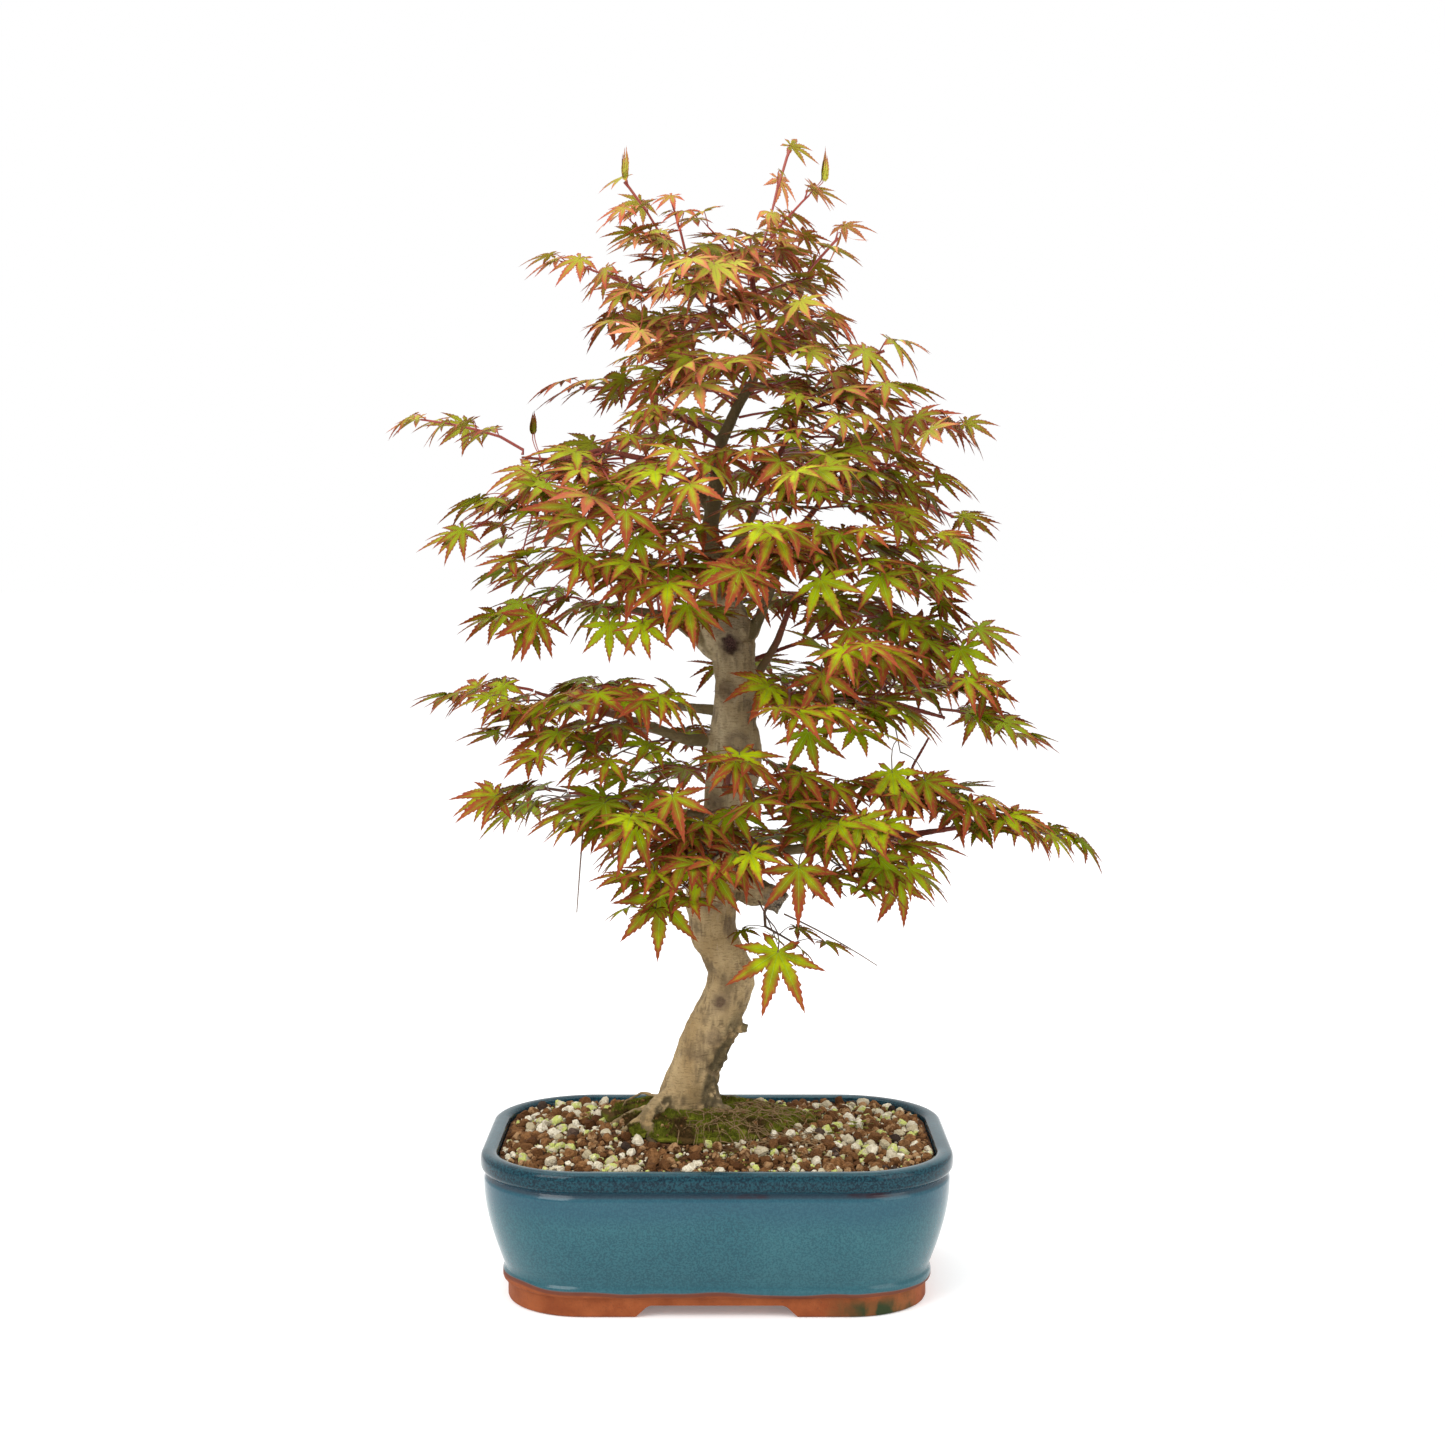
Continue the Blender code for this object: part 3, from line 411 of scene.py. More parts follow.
def make_flat_leaf():
    """All lobes joined, with its values on its points, as one closed skin."""
    bm = bmesh.new()
    names = ("across", "along", "lift", "lobe", "tone", "youth")
    layers = {name: bm.verts.layers.float.new(name) for name in names}
    for which in range(len(LOBE_ANGLES)):
        add_lobe(bm, which, layers)
    bmesh.ops.remove_doubles(bm, verts=bm.verts, dist=1e-4)
    for vert in bm.verts:
        lobe = int(vert[layers["lobe"]])
        turn = math.radians(LOBE_ANGLES[lobe])
        axis = Vector((math.sin(turn), math.cos(turn), 0))
        vert[layers["along"]] = max(0.0, vert.co.dot(axis)) / LOBE_LENGTHS[lobe]
        vert[layers["lift"]] = (vert.co - axis * vert.co.dot(axis)).length
    for face in [f for f in bm.faces if len(f.verts) > 3]:
        hub = min((v for v in face.verts if not v.is_boundary), key=lambda v: v.co.length)
        beside = {e.other_vert(hub) for e in hub.link_edges}
        for vert in [v for v in face.verts if v is not hub and v not in beside]:
            bmesh.ops.connect_vert_pair(bm, verts=[hub, vert])
    rim = {v for e in bm.edges if e.is_boundary for v in e.verts if v.co.length > 1e-3}
    lower = bmesh.ops.duplicate(bm, geom=bm.verts[:] + bm.edges[:] + bm.faces[:])
    under = [item for item in lower["geom"] if isinstance(item, bmesh.types.BMFace)]
    under_verts = {item for item in lower["geom"] if isinstance(item, bmesh.types.BMVert)}
    under_rim = {v for e in bm.edges if e.is_boundary for v in e.verts if v.co.length > 1e-3} & under_verts
    bmesh.ops.reverse_faces(bm, faces=under)
    for vert in bm.verts:
        if vert in under_verts:
            vert.co.z -= SKIN if vert not in under_rim else 0.0
        else:
            vert.co.z += SKIN if vert not in rim else 0.0
    bmesh.ops.remove_doubles(bm, verts=bm.verts, dist=1e-5)
    bmesh.ops.holes_fill(bm, edges=[e for e in bm.edges if e.is_boundary], sides=4)
    print("leaf", len(bm.verts), "points", len(bm.faces), "faces, open edges",
          sum(e.is_boundary for e in bm.edges))
    return as_mesh("flat_leaf", bm)


FLAT_LEAF = make_flat_leaf()
FLAT = per_point(FLAT_LEAF)


def leaf_values(name):
    """One of the values stored on the flat leaf's points."""
    values = np.empty(len(FLAT))
    FLAT_LEAF.attributes[name].data.foreach_get("value", values)
    return values


FLAT_REACH = np.hypot(FLAT[:, 0], FLAT[:, 1])
FLAT_TURN = np.arctan2(FLAT[:, 0], FLAT[:, 1])
FLAT_LOBE = leaf_values("lobe").astype(int)
FLAT_LIFT = leaf_values("lift")
FREEDOM = np.clip((FLAT_REACH / np.array(LOBE_LENGTHS)[FLAT_LOBE] - SINUS) / (1 - SINUS), 0, 1)

# %% [markdown]
# ## Where the leaves grow
#
# Each leaf is a flat leaf set at a foot, pointing one way, facing another, with some droop. The frame's own
# leaves say most of that: their stars have a point above and a point below the foot, where many triangles
# meet, and an outline that gives the lobes. So every fine leaf lies in its plain leaf's place.


# %% A leaf's setting
SWING = 6  # degrees that a lobe may be turned from the pattern
STRETCH = (0.90, 1.06)  # of its length
CURL = (-0.10, 0.22)  # of its tip, upwards or downwards
FOLD = (0.12, 0.55)  # of its two halves along the midrib
OUTLINE_ANGLE = 0.16  # half the width of a lobe in the coarse fan, seen from the leaf's foot, in radians
OUTLINE_SHARE = 0.92  # of a lobe's length


class Leaf:
    """Foot, direction, facing, length and droop of one leaf, and how its lobes differ from the pattern."""

    def __init__(self, foot, ahead, normal, length, droop, joint, rng, lobes=None):
        self.foot = foot
        self.ahead = ahead
        self.normal = normal
        self.length = length
        self.droop = droop
        self.joint = joint
        self.swing = np.radians([rng.uniform(-SWING, SWING) for _ in LOBE_ANGLES])
        self.stretch = np.array([rng.uniform(*STRETCH) for _ in LOBE_ANGLES])
        for which, (angle, share) in (lobes or {}).items():
            self.swing[which] = math.radians(angle - LOBE_ANGLES[which])
            self.stretch[which] = share / LOBE_LENGTHS[which]
        self.curl = np.array([rng.uniform(*CURL) for _ in LOBE_ANGLES])
        self.fold = rng.uniform(*FOLD)
        self.tone = rng.random()
        self.youth = 0.0

    def turn_by(self, lift, roll):
        """Lift the tip about the foot, then roll the leaf about its midrib, by angles in degrees."""
        rise = Matrix.Rotation(math.radians(lift), 3, self.ahead.cross(self.normal))
        self.ahead, self.normal = rise @ self.ahead, rise @ self.normal
        self.normal = Matrix.Rotation(math.radians(roll), 3, self.ahead) @ self.normal

    def settle(self):
        """The points of the flat leaf, bent to this leaf's place."""
        turn = FLAT_TURN + self.swing[FLAT_LOBE] * FREEDOM
        reach = FLAT_REACH * (1 + (self.stretch[FLAT_LOBE] - 1) * FREEDOM)
        rise = FLAT[:, 2] + self.fold * FLAT_LIFT - self.droop * reach ** 2
        rise -= self.curl[FLAT_LOBE] * np.maximum(0, reach - 0.45) ** 2
        side = np.array(self.ahead.cross(self.normal))
        sideways = (reach * np.sin(turn))[:, None] * side
        forwards = (reach * np.cos(turn))[:, None] * np.array(self.ahead)
        upwards = rise[:, None] * np.array(self.normal)
        return np.array(self.foot) + (sideways + forwards + upwards) * self.length

    def outline(self):
        """A coarse fan of the leaf, for finding clashes."""
        side = self.ahead.cross(self.normal)
        points = [self.foot]
        for which in range(1, 6):
            angle = math.radians(LOBE_ANGLES[which]) + self.swing[which]
            share = LOBE_LENGTHS[which] * self.stretch[which] * OUTLINE_SHARE
            for turn, part in ((angle - OUTLINE_ANGLE, 0.5), (angle, 1.0), (angle + OUTLINE_ANGLE, 0.5)):
                reach = share * part
                spot = self.ahead * math.cos(turn) + side * math.sin(turn)
                sag = self.normal * self.droop * reach ** 2
                points.append(self.foot + (spot * reach - sag) * self.length)
        faces = [(0, 1 + 3 * lobe + step, 2 + 3 * lobe + step) for lobe in range(5) for step in range(2)]
        return points, faces


# %% Read a plain spray
STAR_FAN = 10  # at least this many edges meet above and below a plain leaf's foot
TOP_RISE = 0.0006  # from the foot to the point above it, in metres
LEAST_DROOP, DROOP_SHARE = 0.05, 0.7  # a fine leaf droops a little less than the plain one


def read_leaf(top, bottom, rng):
    """A leaf's setting, from the points above and below a plain leaf's foot, and the points it takes up."""
    shared = [e.other_vert(top) for e in top.link_edges]
    below = {e.other_vert(bottom) for e in bottom.link_edges}
    star = [v for v in shared if v in below]
    normal = (top.co - bottom.co).normalized()
    foot = top.co - normal * TOP_RISE
    star.sort(key=lambda v: (v.co - foot).length)
    side = (star[1].co - star[0].co).normalized()
    spread = sum((v.co - foot for v in star[2:]), Vector())
    ahead = normal.cross(side).normalized()
    if ahead.dot(spread) < 0:
        ahead, side = -ahead, -side
    side = ahead.cross(normal)
    spokes = []
    for vert in star[2:]:
        arm = vert.co - foot
        flat = Vector((arm.dot(side), arm.dot(ahead), 0))
        spokes.append((math.degrees(math.atan2(flat.x, flat.y)), flat.length, -arm.dot(normal)))
    spokes.sort()
    tips = spokes[0::2]
    length = tips[len(tips) // 2][1]
    drop = sum(s[2] for s in tips) / max(1e-9, sum(s[1] ** 2 for s in tips)) * length
    lobes = {which + 1: (tip[0], tip[1] / length) for which, tip in enumerate(tips)}
    ring = {top, bottom, *star}
    stalk = {e.other_vert(v) for v in (top, bottom, star[0], star[1]) for e in v.link_edges} - ring
    joint = middle_of(stalk)
    droop = max(LEAST_DROOP, drop * DROOP_SHARE)
    return Leaf(foot, ahead, normal, length, droop, joint, rng, lobes), ring


def read_spray(name):
    """The twig's path and the leaves of one plain spray."""
    rng = random.Random(name)
    bm = merged(name)
    poles = [v for v in bm.verts if len(v.link_edges) >= STAR_FAN]
    leaves, used = [], set()
    while poles:
        pole = poles.pop(0)
        partner = min(poles, key=lambda v: (v.co - pole.co).length)
        poles.remove(partner)
        top, bottom = (pole, partner) if pole.normal.z > partner.normal.z else (partner, pole)
        leaf, ring = read_leaf(top, bottom, rng)
        leaves.append(leaf)
        used |= ring
    rest = {v for v in bm.verts if v not in used}
    tip = next(v for v in bm.verts if v in rest and len(v.link_edges) == 4
               and len({e.other_vert(v) for e in v.link_edges} & rest) == 4
               and all(len(f.verts) == 3 for f in v.link_faces) and len(v.link_faces) == 4)
    path, seen, ring = [tip.co.copy()], {tip}, {tip}
    while True:
        ring = {e.other_vert(v) for v in ring for e in v.link_edges} & rest - seen
        if not ring:
            break
        seen |= ring
        path.append(middle_of(ring))
    bm.free()
    return path[::-1], leaves


SPRAY_NAMES = sorted(name for name in NODES if name.startswith("leaf_spray_"))
sprays = {name: read_spray(name) for name in SPRAY_NAMES}
print("sprays", len(sprays), "leaves", sum(len(leaves) for _, leaves in sprays.values()))

# %% [markdown]
# ## Young growth between the sprays
#
# The frame holds only as many sprays as collision can bear; the real crown is fuller. The gaps are filled
# with short shoots in the same manner: a twig from the nearest wood, with opposite pairs of leaves on thin
# stalks. A new leaf is tried in a few directions, and is kept only where it runs into no other leaf.

# %% Room between leaves
TRUNK_TREE = search_tree(merged("trunk"))


class Crown:
    """The coarse fans of all leaves so far, with their boxes, for finding clashes."""

    def __init__(self):
        self.low, self.high, self.fans = [], [], []

    def add(self, leaf):
        points, faces = leaf.outline()
        self.low.append([min(p[k] for p in points) for k in range(3)])
        self.high.append([max(p[k] for p in points) for k in range(3)])
        self.fans.append(BVHTree.FromPolygons(points, faces))

    def clashes(self, leaf):
        points, faces = leaf.outline()
        fan = BVHTree.FromPolygons(points, faces)
        if fan.overlap(TRUNK_TREE):
            return True
        low = np.min(points, axis=0)
        high = np.max(points, axis=0)
        lows, highs = np.array(self.low).reshape(-1, 3), np.array(self.high).reshape(-1, 3)
        near = np.all((lows < high) & (highs > low), axis=1)
        return any(fan.overlap(self.fans[i]) for i in np.nonzero(near)[0])


# Leaves whose lengths are listed here, in mm and in their spray's order, so that the trunk shows between
# them.
SET_LENGTHS = {
    "leaf_spray_skirt_right": (21, 15, 20, 14, 16),
    "leaf_spray_skirt_left": (30, 22, 18, 17, 22),
    "leaf_spray_base_front_upper": (20, 22, 24, 28, 27, 30),
}


LOOSEN_TRIES = 8
LIFTS = (0.05, 0.80)  # the share of a leaf's own downward pitch that is taken back
ROLL = 28  # degrees


def loosen(leaf, rng):
    """Lift and roll a plain leaf, a little differently at each try, until it clears its neighbours."""
    plain = leaf.ahead, leaf.normal
    pitch = math.degrees(math.asin(max(-1.0, min(1.0, -leaf.ahead.z))))
    for _ in range(LOOSEN_TRIES):
        leaf.ahead, leaf.normal = plain
        leaf.turn_by(pitch * rng.uniform(*LIFTS), rng.uniform(-ROLL, ROLL))
        if not crown.clashes(leaf):
            break
    crown.add(leaf)


crown = Crown()
for name, (_, leaves) in sprays.items():
    rng = random.Random(name + " pose")
    for leaf, length in zip(leaves, SET_LENGTHS.get(name, ())):
        leaf.length = length * MM
    for leaf in leaves:
        loosen(leaf, rng)
print("leaves in the crown", len(crown.fans))


# %% A shoot
class Shoot:
    """A twig's path, its leaves, and its radius in mm at the foot and at the tip."""

    def __init__(self, path, leaves, thick=1.0, thin=0.55):
        self.path = path
        self.leaves = leaves
        self.thick = thick * MM
        self.thin = thin * MM


def arch(start, end, rise, count):
    """Points on a bow between two places, its middle raised."""
    middle = start.lerp(end, 0.5) + UP * rise
    points = []
    for i in range(count):
        share = i / (count - 1)
        points.append(start.lerp(middle, share).lerp(middle.lerp(end, share), share))
    return points


PITCH, LOOSE_PITCH = (-6, 38), (-14, 26)  # degrees below level, and what a late try may add
TWIST = 24  # degrees about the midrib
DROOP = (0.06, 0.22)


def aimed_leaf(joint, lean, facing, length, stalk, rng, loose=0.0):
    """A leaf on a stalk that leaves the joint along lean and then hangs, facing outwards and up."""
    foot = joint + lean * stalk - UP * (stalk * 0.12)
    flat = Vector((lean.x, lean.y, 0)) * 0.6 + facing * 0.6
    flat += Vector((rng.uniform(-1, 1), rng.uniform(-1, 1), 0)) * (0.3 + 0.5 * loose)
    flat = flat.normalized() if flat.length > 1e-3 else facing
    pitch = math.radians(rng.uniform(*PITCH) + rng.uniform(*LOOSE_PITCH) * loose)
    ahead = flat * math.cos(pitch) - UP * math.sin(pitch)
    normal = (UP - ahead * UP.dot(ahead)).normalized()
    normal = Matrix.Rotation(math.radians(rng.uniform(-TWIST, TWIST) * (1 + loose)), 3, ahead) @ normal
    return Leaf(foot, ahead, normal, length, rng.uniform(*DROOP), joint, rng)


TRIES = 12  # for a place for one leaf
PAIRS = 3  # of leaves on a shoot
LAST_PAIR, OTHER_PAIRS = (55, 75), (15, 45)  # how far a stalk leans along the twig, in degrees
TWIG_POINTS = 7
TRUNK_AXIS = place(0, 0, 0)
FRAME_TWIGS = [point for path, _ in sprays.values() for point in path]


def nearest_wood(spot):
    """The closest point of the bark or of one of the frame's own twigs."""
    bark = TRUNK_TREE.find_nearest(spot)[0]
    twig = min(FRAME_TWIGS, key=lambda point: (point - spot).length)
    return bark if (bark - spot).length < (twig - spot).length + 0.004 else twig


def grow_shoot(start, end, pairs, size, rng):
    """A twig from the wood nearest to start, with pairs of leaves wherever there is room."""
    foot = nearest_wood(start)
    path = arch(foot, end, 0.08 * (end - foot).length, TWIG_POINTS)
    leaves = []
    for pair in range(pairs):
        share = 0.45 + 0.55 * pair / max(1, pairs - 1)
        joint = path[round(share * (TWIG_POINTS - 1))]
        tangent = (path[-1] - path[3]).normalized()
        side = tangent.cross(UP).normalized()
        facing = Vector((joint.x - TRUNK_AXIS.x, joint.y - TRUNK_AXIS.y - 0.02, 0))
        facing = facing.normalized() if facing.length > 0.012 else Vector((0, -1, 0))
        for hand in (-1, 1):
            for attempt in range(TRIES):
                loose = attempt / TRIES
                turn = math.radians(rng.uniform(*(LAST_PAIR if pair == pairs - 1 else OTHER_PAIRS)))
                lean = side * hand * math.cos(turn) + tangent * math.sin(turn) + UP * rng.uniform(0.0, 0.35)
                lean += Vector([rng.uniform(-1, 1) for _ in range(3)]) * 0.45 * loose
                length = size * MM * (1 - 0.16 * share) * rng.uniform(0.92, 1.15)
                stalk = length * rng.uniform(0.35, 0.75) * (1 - 0.3 * loose)
                leaf = aimed_leaf(joint, lean.normalized(), facing, length, stalk, rng, loose)
                if not crown.clashes(leaf):
                    crown.add(leaf)
                    leaves.append(leaf)
                    break
    return Shoot(path, leaves, 0.8, 0.45)


# %% Finer ends for the frame's own sprays
shoots = {}
for name, (path, leaves) in sprays.items():
    shoots[name] = Shoot(path, leaves)
    rng = random.Random(name + " tip")
    tip = path[-1]
    tangent = (path[-1] - path[-3]).normalized()
    side = tangent.cross(UP).normalized() if abs(tangent.z) < 0.95 else Vector((1, 0, 0))
    parent = sum(leaf.length for leaf in leaves) / max(1, len(leaves))
    for hand in () if name in SET_LENGTHS else (-1, 1):
        lean = (tangent * 0.9 + side * hand * 0.5 + UP * 0.3).normalized()
        small = aimed_leaf(tip, lean, tangent, parent * rng.uniform(0.38, 0.5), parent * 0.15, rng)
        if not crown.clashes(small):
            crown.add(small)
            leaves.append(small)
            small.youth = 0.25

# %% Where the extra shoots go
# For each region the length of a leaf, and a row for each shoot: x, y, z where it starts and where it ends,
# all in mm from the middle of the pot.
EXTRA = {
    "left_high": (28, (
        (-50, -10, 470, -80, -60, 452), (-30, -14, 460, -60, -80, 440), (-75, -5, 480, -105, -60, 446),
        (-40, 10, 470, -95, 50, 462), (-10, -5, 455, -25, -70, 448), (-100, -5, 470, -118, 20, 440),
        (-40, -10, 398, -75, -40, 408), (-20, -8, 400, -18, -75, 404), (-60, -5, 475, -92, -45, 484),
        (-20, 0, 440, -40, -70, 428), (-70, -5, 470, -60, -75, 478),
    )),
    "left_middle": (28, (
        (-60, -8, 335, -100, -50, 325), (-30, -5, 322, -60, -60, 322), (-40, 10, 320, -70, 60, 325),
        (-80, -5, 345, -120, 10, 335), (-45, -5, 332, -78, -75, 338), (-90, -5, 345, -118, -35, 352),
    )),
    "left_low": (30, (
        (-50, -8, 282, -80, -50, 286), (-30, -6, 280, -40, -60, 262), (-20, 10, 275, -50, 60, 270),
        (-80, 0, 290, -110, 30, 285), (-5, -12, 255, -20, -55, 245),
    )),
    "top_left": (22, (
        (-5, -3, 520, -35, -50, 520), (5, 0, 500, -45, -40, 505), (-10, 2, 590, -45, -25, 590),
        (0, 0, 560, -35, 10, 562), (-5, 0, 545, -50, 20, 535), (0, 5, 580, -15, -40, 575),
        (5, 0, 600, -20, 20, 605), (-5, -3, 535, -40, -60, 548), (5, -3, 575, -30, -45, 560),
        (0, 0, 600, -35, -20, 618), (0, 0, 565, -50, -10, 575), (5, 0, 590, -10, -50, 592),
        (0, 0, 550, -20, -60, 552), (0, 0, 570, -30, 45, 580), (-20, 0, 610, -50, -20, 632),
    )),
    "top_right": (22, (
        (15, 0, 505, 40, -55, 508), (25, 0, 515, 62, -35, 520), (15, -3, 490, 20, -60, 496),
        (20, -3, 575, 42, -20, 588), (10, 0, 600, -5, -25, 628), (14, 0, 600, 32, -20, 620),
        (15, 0, 580, 20, -45, 582), (20, 0, 565, 45, -45, 556), (20, 0, 590, 55, -15, 600),
        (15, 0, 545, 5, -65, 545), (20, 0, 550, 50, 45, 572), (15, 0, 595, 20, 20, 625),
        (20, 0, 600, 45, 0, 622), (25, 0, 530, 70, -25, 545), (10, 0, 530, -20, 40, 545),
        (20, -3, 560, 15, -55, 565), (24, 0, 575, 60, -35, 575), (26, 0, 555, 70, 0, 560),
        (20, 0, 590, 30, 40, 598), (22, 0, 540, 60, 10, 535), (20, -3, 535, 45, -45, 530),
        (18, 0, 600, 10, -35, 604),
    )),
    "right_upper": (27, (
        (40, 2, 505, 70, -50, 515), (50, 0, 530, 80, 40, 540), (30, 0, 490, 45, -50, 485),
        (60, 0, 500, 95, 10, 505), (40, 0, 470, 75, -20, 480), (35, 0, 480, 58, -60, 474),
        (55, 0, 520, 92, -35, 528), (30, 0, 460, 30, -65, 466), (60, 0, 480, 100, -45, 488),
    )),
    "right_high": (29, (
        (45, -8, 445, 70, -70, 450), (60, -8, 465, 100, -55, 462), (35, -5, 430, 20, -70, 440),
        (70, -5, 478, 110, 50, 475), (80, 0, 433, 120, -40, 425), (60, 18, 388, 110, 30, 392),
        (30, -5, 450, 48, -70, 440), (55, -5, 455, 84, -70, 436), (80, 0, 460, 118, -45, 452),
        (75, 17, 400, 120, -5, 398), (40, 0, 415, 60, -40, 408), (90, 0, 440, 125, 10, 445),
    )),
    "right_middle": (30, (
        (60, -8, 353, 100, -60, 350), (100, -5, 350, 140, -40, 362), (30, -5, 352, 60, 40, 362),
        (90, -5, 350, 110, 40, 358), (50, -5, 365, 75, -50, 375), (80, 0, 370, 115, -20, 378),
        (70, -8, 350, 80, -70, 342), (40, -5, 355, 62, -75, 352),
    )),
    "right_low": (31, (
        (35, 0, 262, 56, -55, 272), (55, -4, 262, 80, -50, 250), (85, -5, 267, 100, -45, 262),
        (140, -8, 288, 150, -28, 290), (150, -10, 284, 166, -20, 280), (125, -5, 290, 132, -30, 296),
        (20, 2, 258, 40, 50, 262), (60, -3, 263, 90, 45, 268), (40, 0, 270, 60, 20, 285),
    )),
    "front": (31, (
        (10, -20, 300, 40, -60, 296), (8, -40, 310, 60, -50, 306), (-5, -10, 270, -12, -60, 276),
        (0, 12, 330, -10, 60, 325), (10, 12, 400, 20, 70, 410), (0, 10, 450, -10, 60, 470),
        (5, -10, 285, -10, -60, 285),
    )),
    "back": (28, (
        (0, 12, 300, -18, 60, 305), (10, 12, 345, 34, 70, 350), (5, 12, 365, 18, 66, 370),
        (10, 12, 430, 52, 72, 438), (5, 10, 480, 12, 70, 488), (5, 5, 515, -30, 60, 522),
        (10, 5, 535, 40, 60, 545), (25, 10, 285, 62, 62, 290), (-15, 10, 285, -62, 60, 300),
        (60, 5, 400, 82, 62, 404), (-50, 5, 480, -62, 60, 472), (40, 5, 500, 62, 60, 502),
        (10, 12, 400, -30, 66, 420), (70, 5, 350, 84, 55, 346), (-60, 5, 345, -80, 50, 350),
        (5, 12, 270, 10, 55, 262),
    )),
}
for region, (size, rows) in EXTRA.items():
    rng = random.Random(region)
    for number, row in enumerate(rows, 1):
        shoots[f"shoot_{region}_{number}"] = grow_shoot(place(*row[:3]), place(*row[3:]), PAIRS, size, rng)
# Bare thin wood, from and to in the same way. It goes into the piece of the front shoots.
BARE = (
    (-78, -35, 285, -82, -45, 229), (40, -18, 224, 95, -30, 195), (24, -8, 232, 36, -30, 208),
    (100, -20, 360, 108, -30, 322),
)
for number, row in enumerate(BARE, 1):
    path = arch(place(*row[:3]), place(*row[3:]), 3 * MM, TWIG_POINTS)
    shoots[f"shoot_front_bare_{number}"] = Shoot(path, [], 0.60, 0.30)
print("shoots", len(shoots), "leaves", sum(len(s.leaves) for s in shoots.values()))

# %% [markdown]
# ## The leaves that face the viewer
#
# A crown built by rule looks even. A real one is known by a few leaves that stand out: a low green one in
# front of the trunk, pale ones tipped with red, long ones seen edge-on. Each is listed one by one: the place
# of its foot, its length, its turn from hanging straight down, and how far it leans towards the viewer.

# %% Leaves listed one by one
# x, y, z of the foot; length; turn (+ to the right); lean (0 shows its face, 90 its edge); extra youth
SHOWN = (
    (36, -40, 205, 40, -16, 21, -0.3), (13, -80, 325, 34, 5, 50, -0.24), (52, -80, 338, 28, 10, 25, -0.21),
    (-1, -75, 257, 28, 30, 24, -0.24), (-10, -70, 262, 34, -10, 24, -0.03),
    (19, -85, 269, 26, 25, 54, -0.24), (47, -70, 259, 34, 0, 14, -0.24), (-33, -45, 238, 39, -3, 11, -0.24),
    (21, -95, 299, 30, 20, 79, -0.12), (92, -80, 285, 38, 15, 74, -0.09), (101, -60, 313, 28, 5, 25, -0.18),
    (93, -60, 263, 28, 10, 19, -0.18), (107, -40, 247, 30, -30, 14, -0.18),
    (-32, -60, 267, 28, 15, 24, -0.27), (-25, -80, 301, 30, 20, 40, -0.21),
    (-47, -75, 284, 32, -20, 29, -0.3), (-22, -90, 496, 28, -15, 65, 0),
    (-34, -100, 484, 32, 10, 70, -0.09), (-70, -95, 470, 34, -20, 75, 0.24),
    (-99, -60, 475, 25, -50, 60, -0.06), (-81, -90, 464, 34, -40, 50, 0.06),
    (-50, -105, 462, 32, 5, 55, -0.06), (-74, -95, 437, 26, -25, 30, -0.12),
    (-44, -100, 447, 26, 20, 40, -0.06), (-27, -105, 422, 34, 0, 55, -0.12),
    (-45, -95, 424, 28, -15, 40, -0.18), (-16, -100, 410, 28, 10, 40, -0.18),
    (21, -105, 430, 30, -25, 45, 0.03), (-104, -50, 402, 30, -20, 35, -0.18),
    (-61, -70, 399, 24, 0, 20, -0.18), (-42, -80, 400, 24, 10, 20, -0.18),
    (33, -105, 451, 32, 20, 40, -0.24), (58, -95, 424, 30, 25, 40, 0), (92, -85, 426, 30, 15, 45, 0),
    (13, -110, 429, 32, -20, 45, -0.06), (-11, -80, 533, 30, 15, 65, 0.06),
    (121, -50, 307, 26, 10, 40, -0.12), (-108, -45, 397, 26, -30, 40, -0.12),
    (-9, -60, 589, 24, 10, 60, 0.06), (-44, -45, 567, 23, -25, 60, 0.12), (48, -40, 584, 23, 20, 55, 0.18),
    (123, -40, 510, 24, 40, 70, 0.12), (142, -40, 383, 26, 25, 40, -0.12),
    (158, -30, 359, 24, 30, 40, -0.12), (75, -70, 395, 28, 10, 35, -0.21),
    (60, -70, 370, 30, 15, 30, -0.24),
)
twig_points = [(point, name) for name, shoot in shoots.items() for point in shoot.path[2:]]
TWIG_SPOTS = np.array([point for point, _ in twig_points])


def nearest_twig(spot):
    """The closest point of any twig, and the name of its shoot."""
    return twig_points[int(np.argmin(np.sum((TWIG_SPOTS - np.array(spot)) ** 2, axis=1)))]


def shown_leaf(x, y, z, length, turn, lean, youth, rng):
    foot = place(x, y, z)
    across, tilt = math.radians(turn), math.radians(lean)
    down = Vector((math.sin(across), 0, -math.cos(across)))
    ahead = down * math.cos(tilt) - Vector((0, 1, 0)) * math.sin(tilt)
    normal = -Vector((0, 1, 0)) * math.cos(tilt) - down * math.sin(tilt)
    behind = foot - ahead * length * MM * 0.5 + Vector((0, 0.01, 0.004))
    joint, owner = nearest_twig(behind)
    droop = rng.uniform(0.06, 0.18)
    leaf = Leaf(foot, ahead.normalized(), normal.normalized(), length * MM, droop, joint, rng)
    leaf.youth = youth
    leaf.swing *= 0.6
    return leaf, owner, (joint - foot).length


shown_rng = random.Random("shown")
reaches = []
for row in SHOWN:
    leaf, owner, reach = shown_leaf(*row, shown_rng)
    crown.add(leaf)
    shoots[owner].leaves.append(leaf)
    reaches.append(reach)
print("leaves set by hand", len(SHOWN), "longest stalk", round(max(reaches) * 1000), "mm")

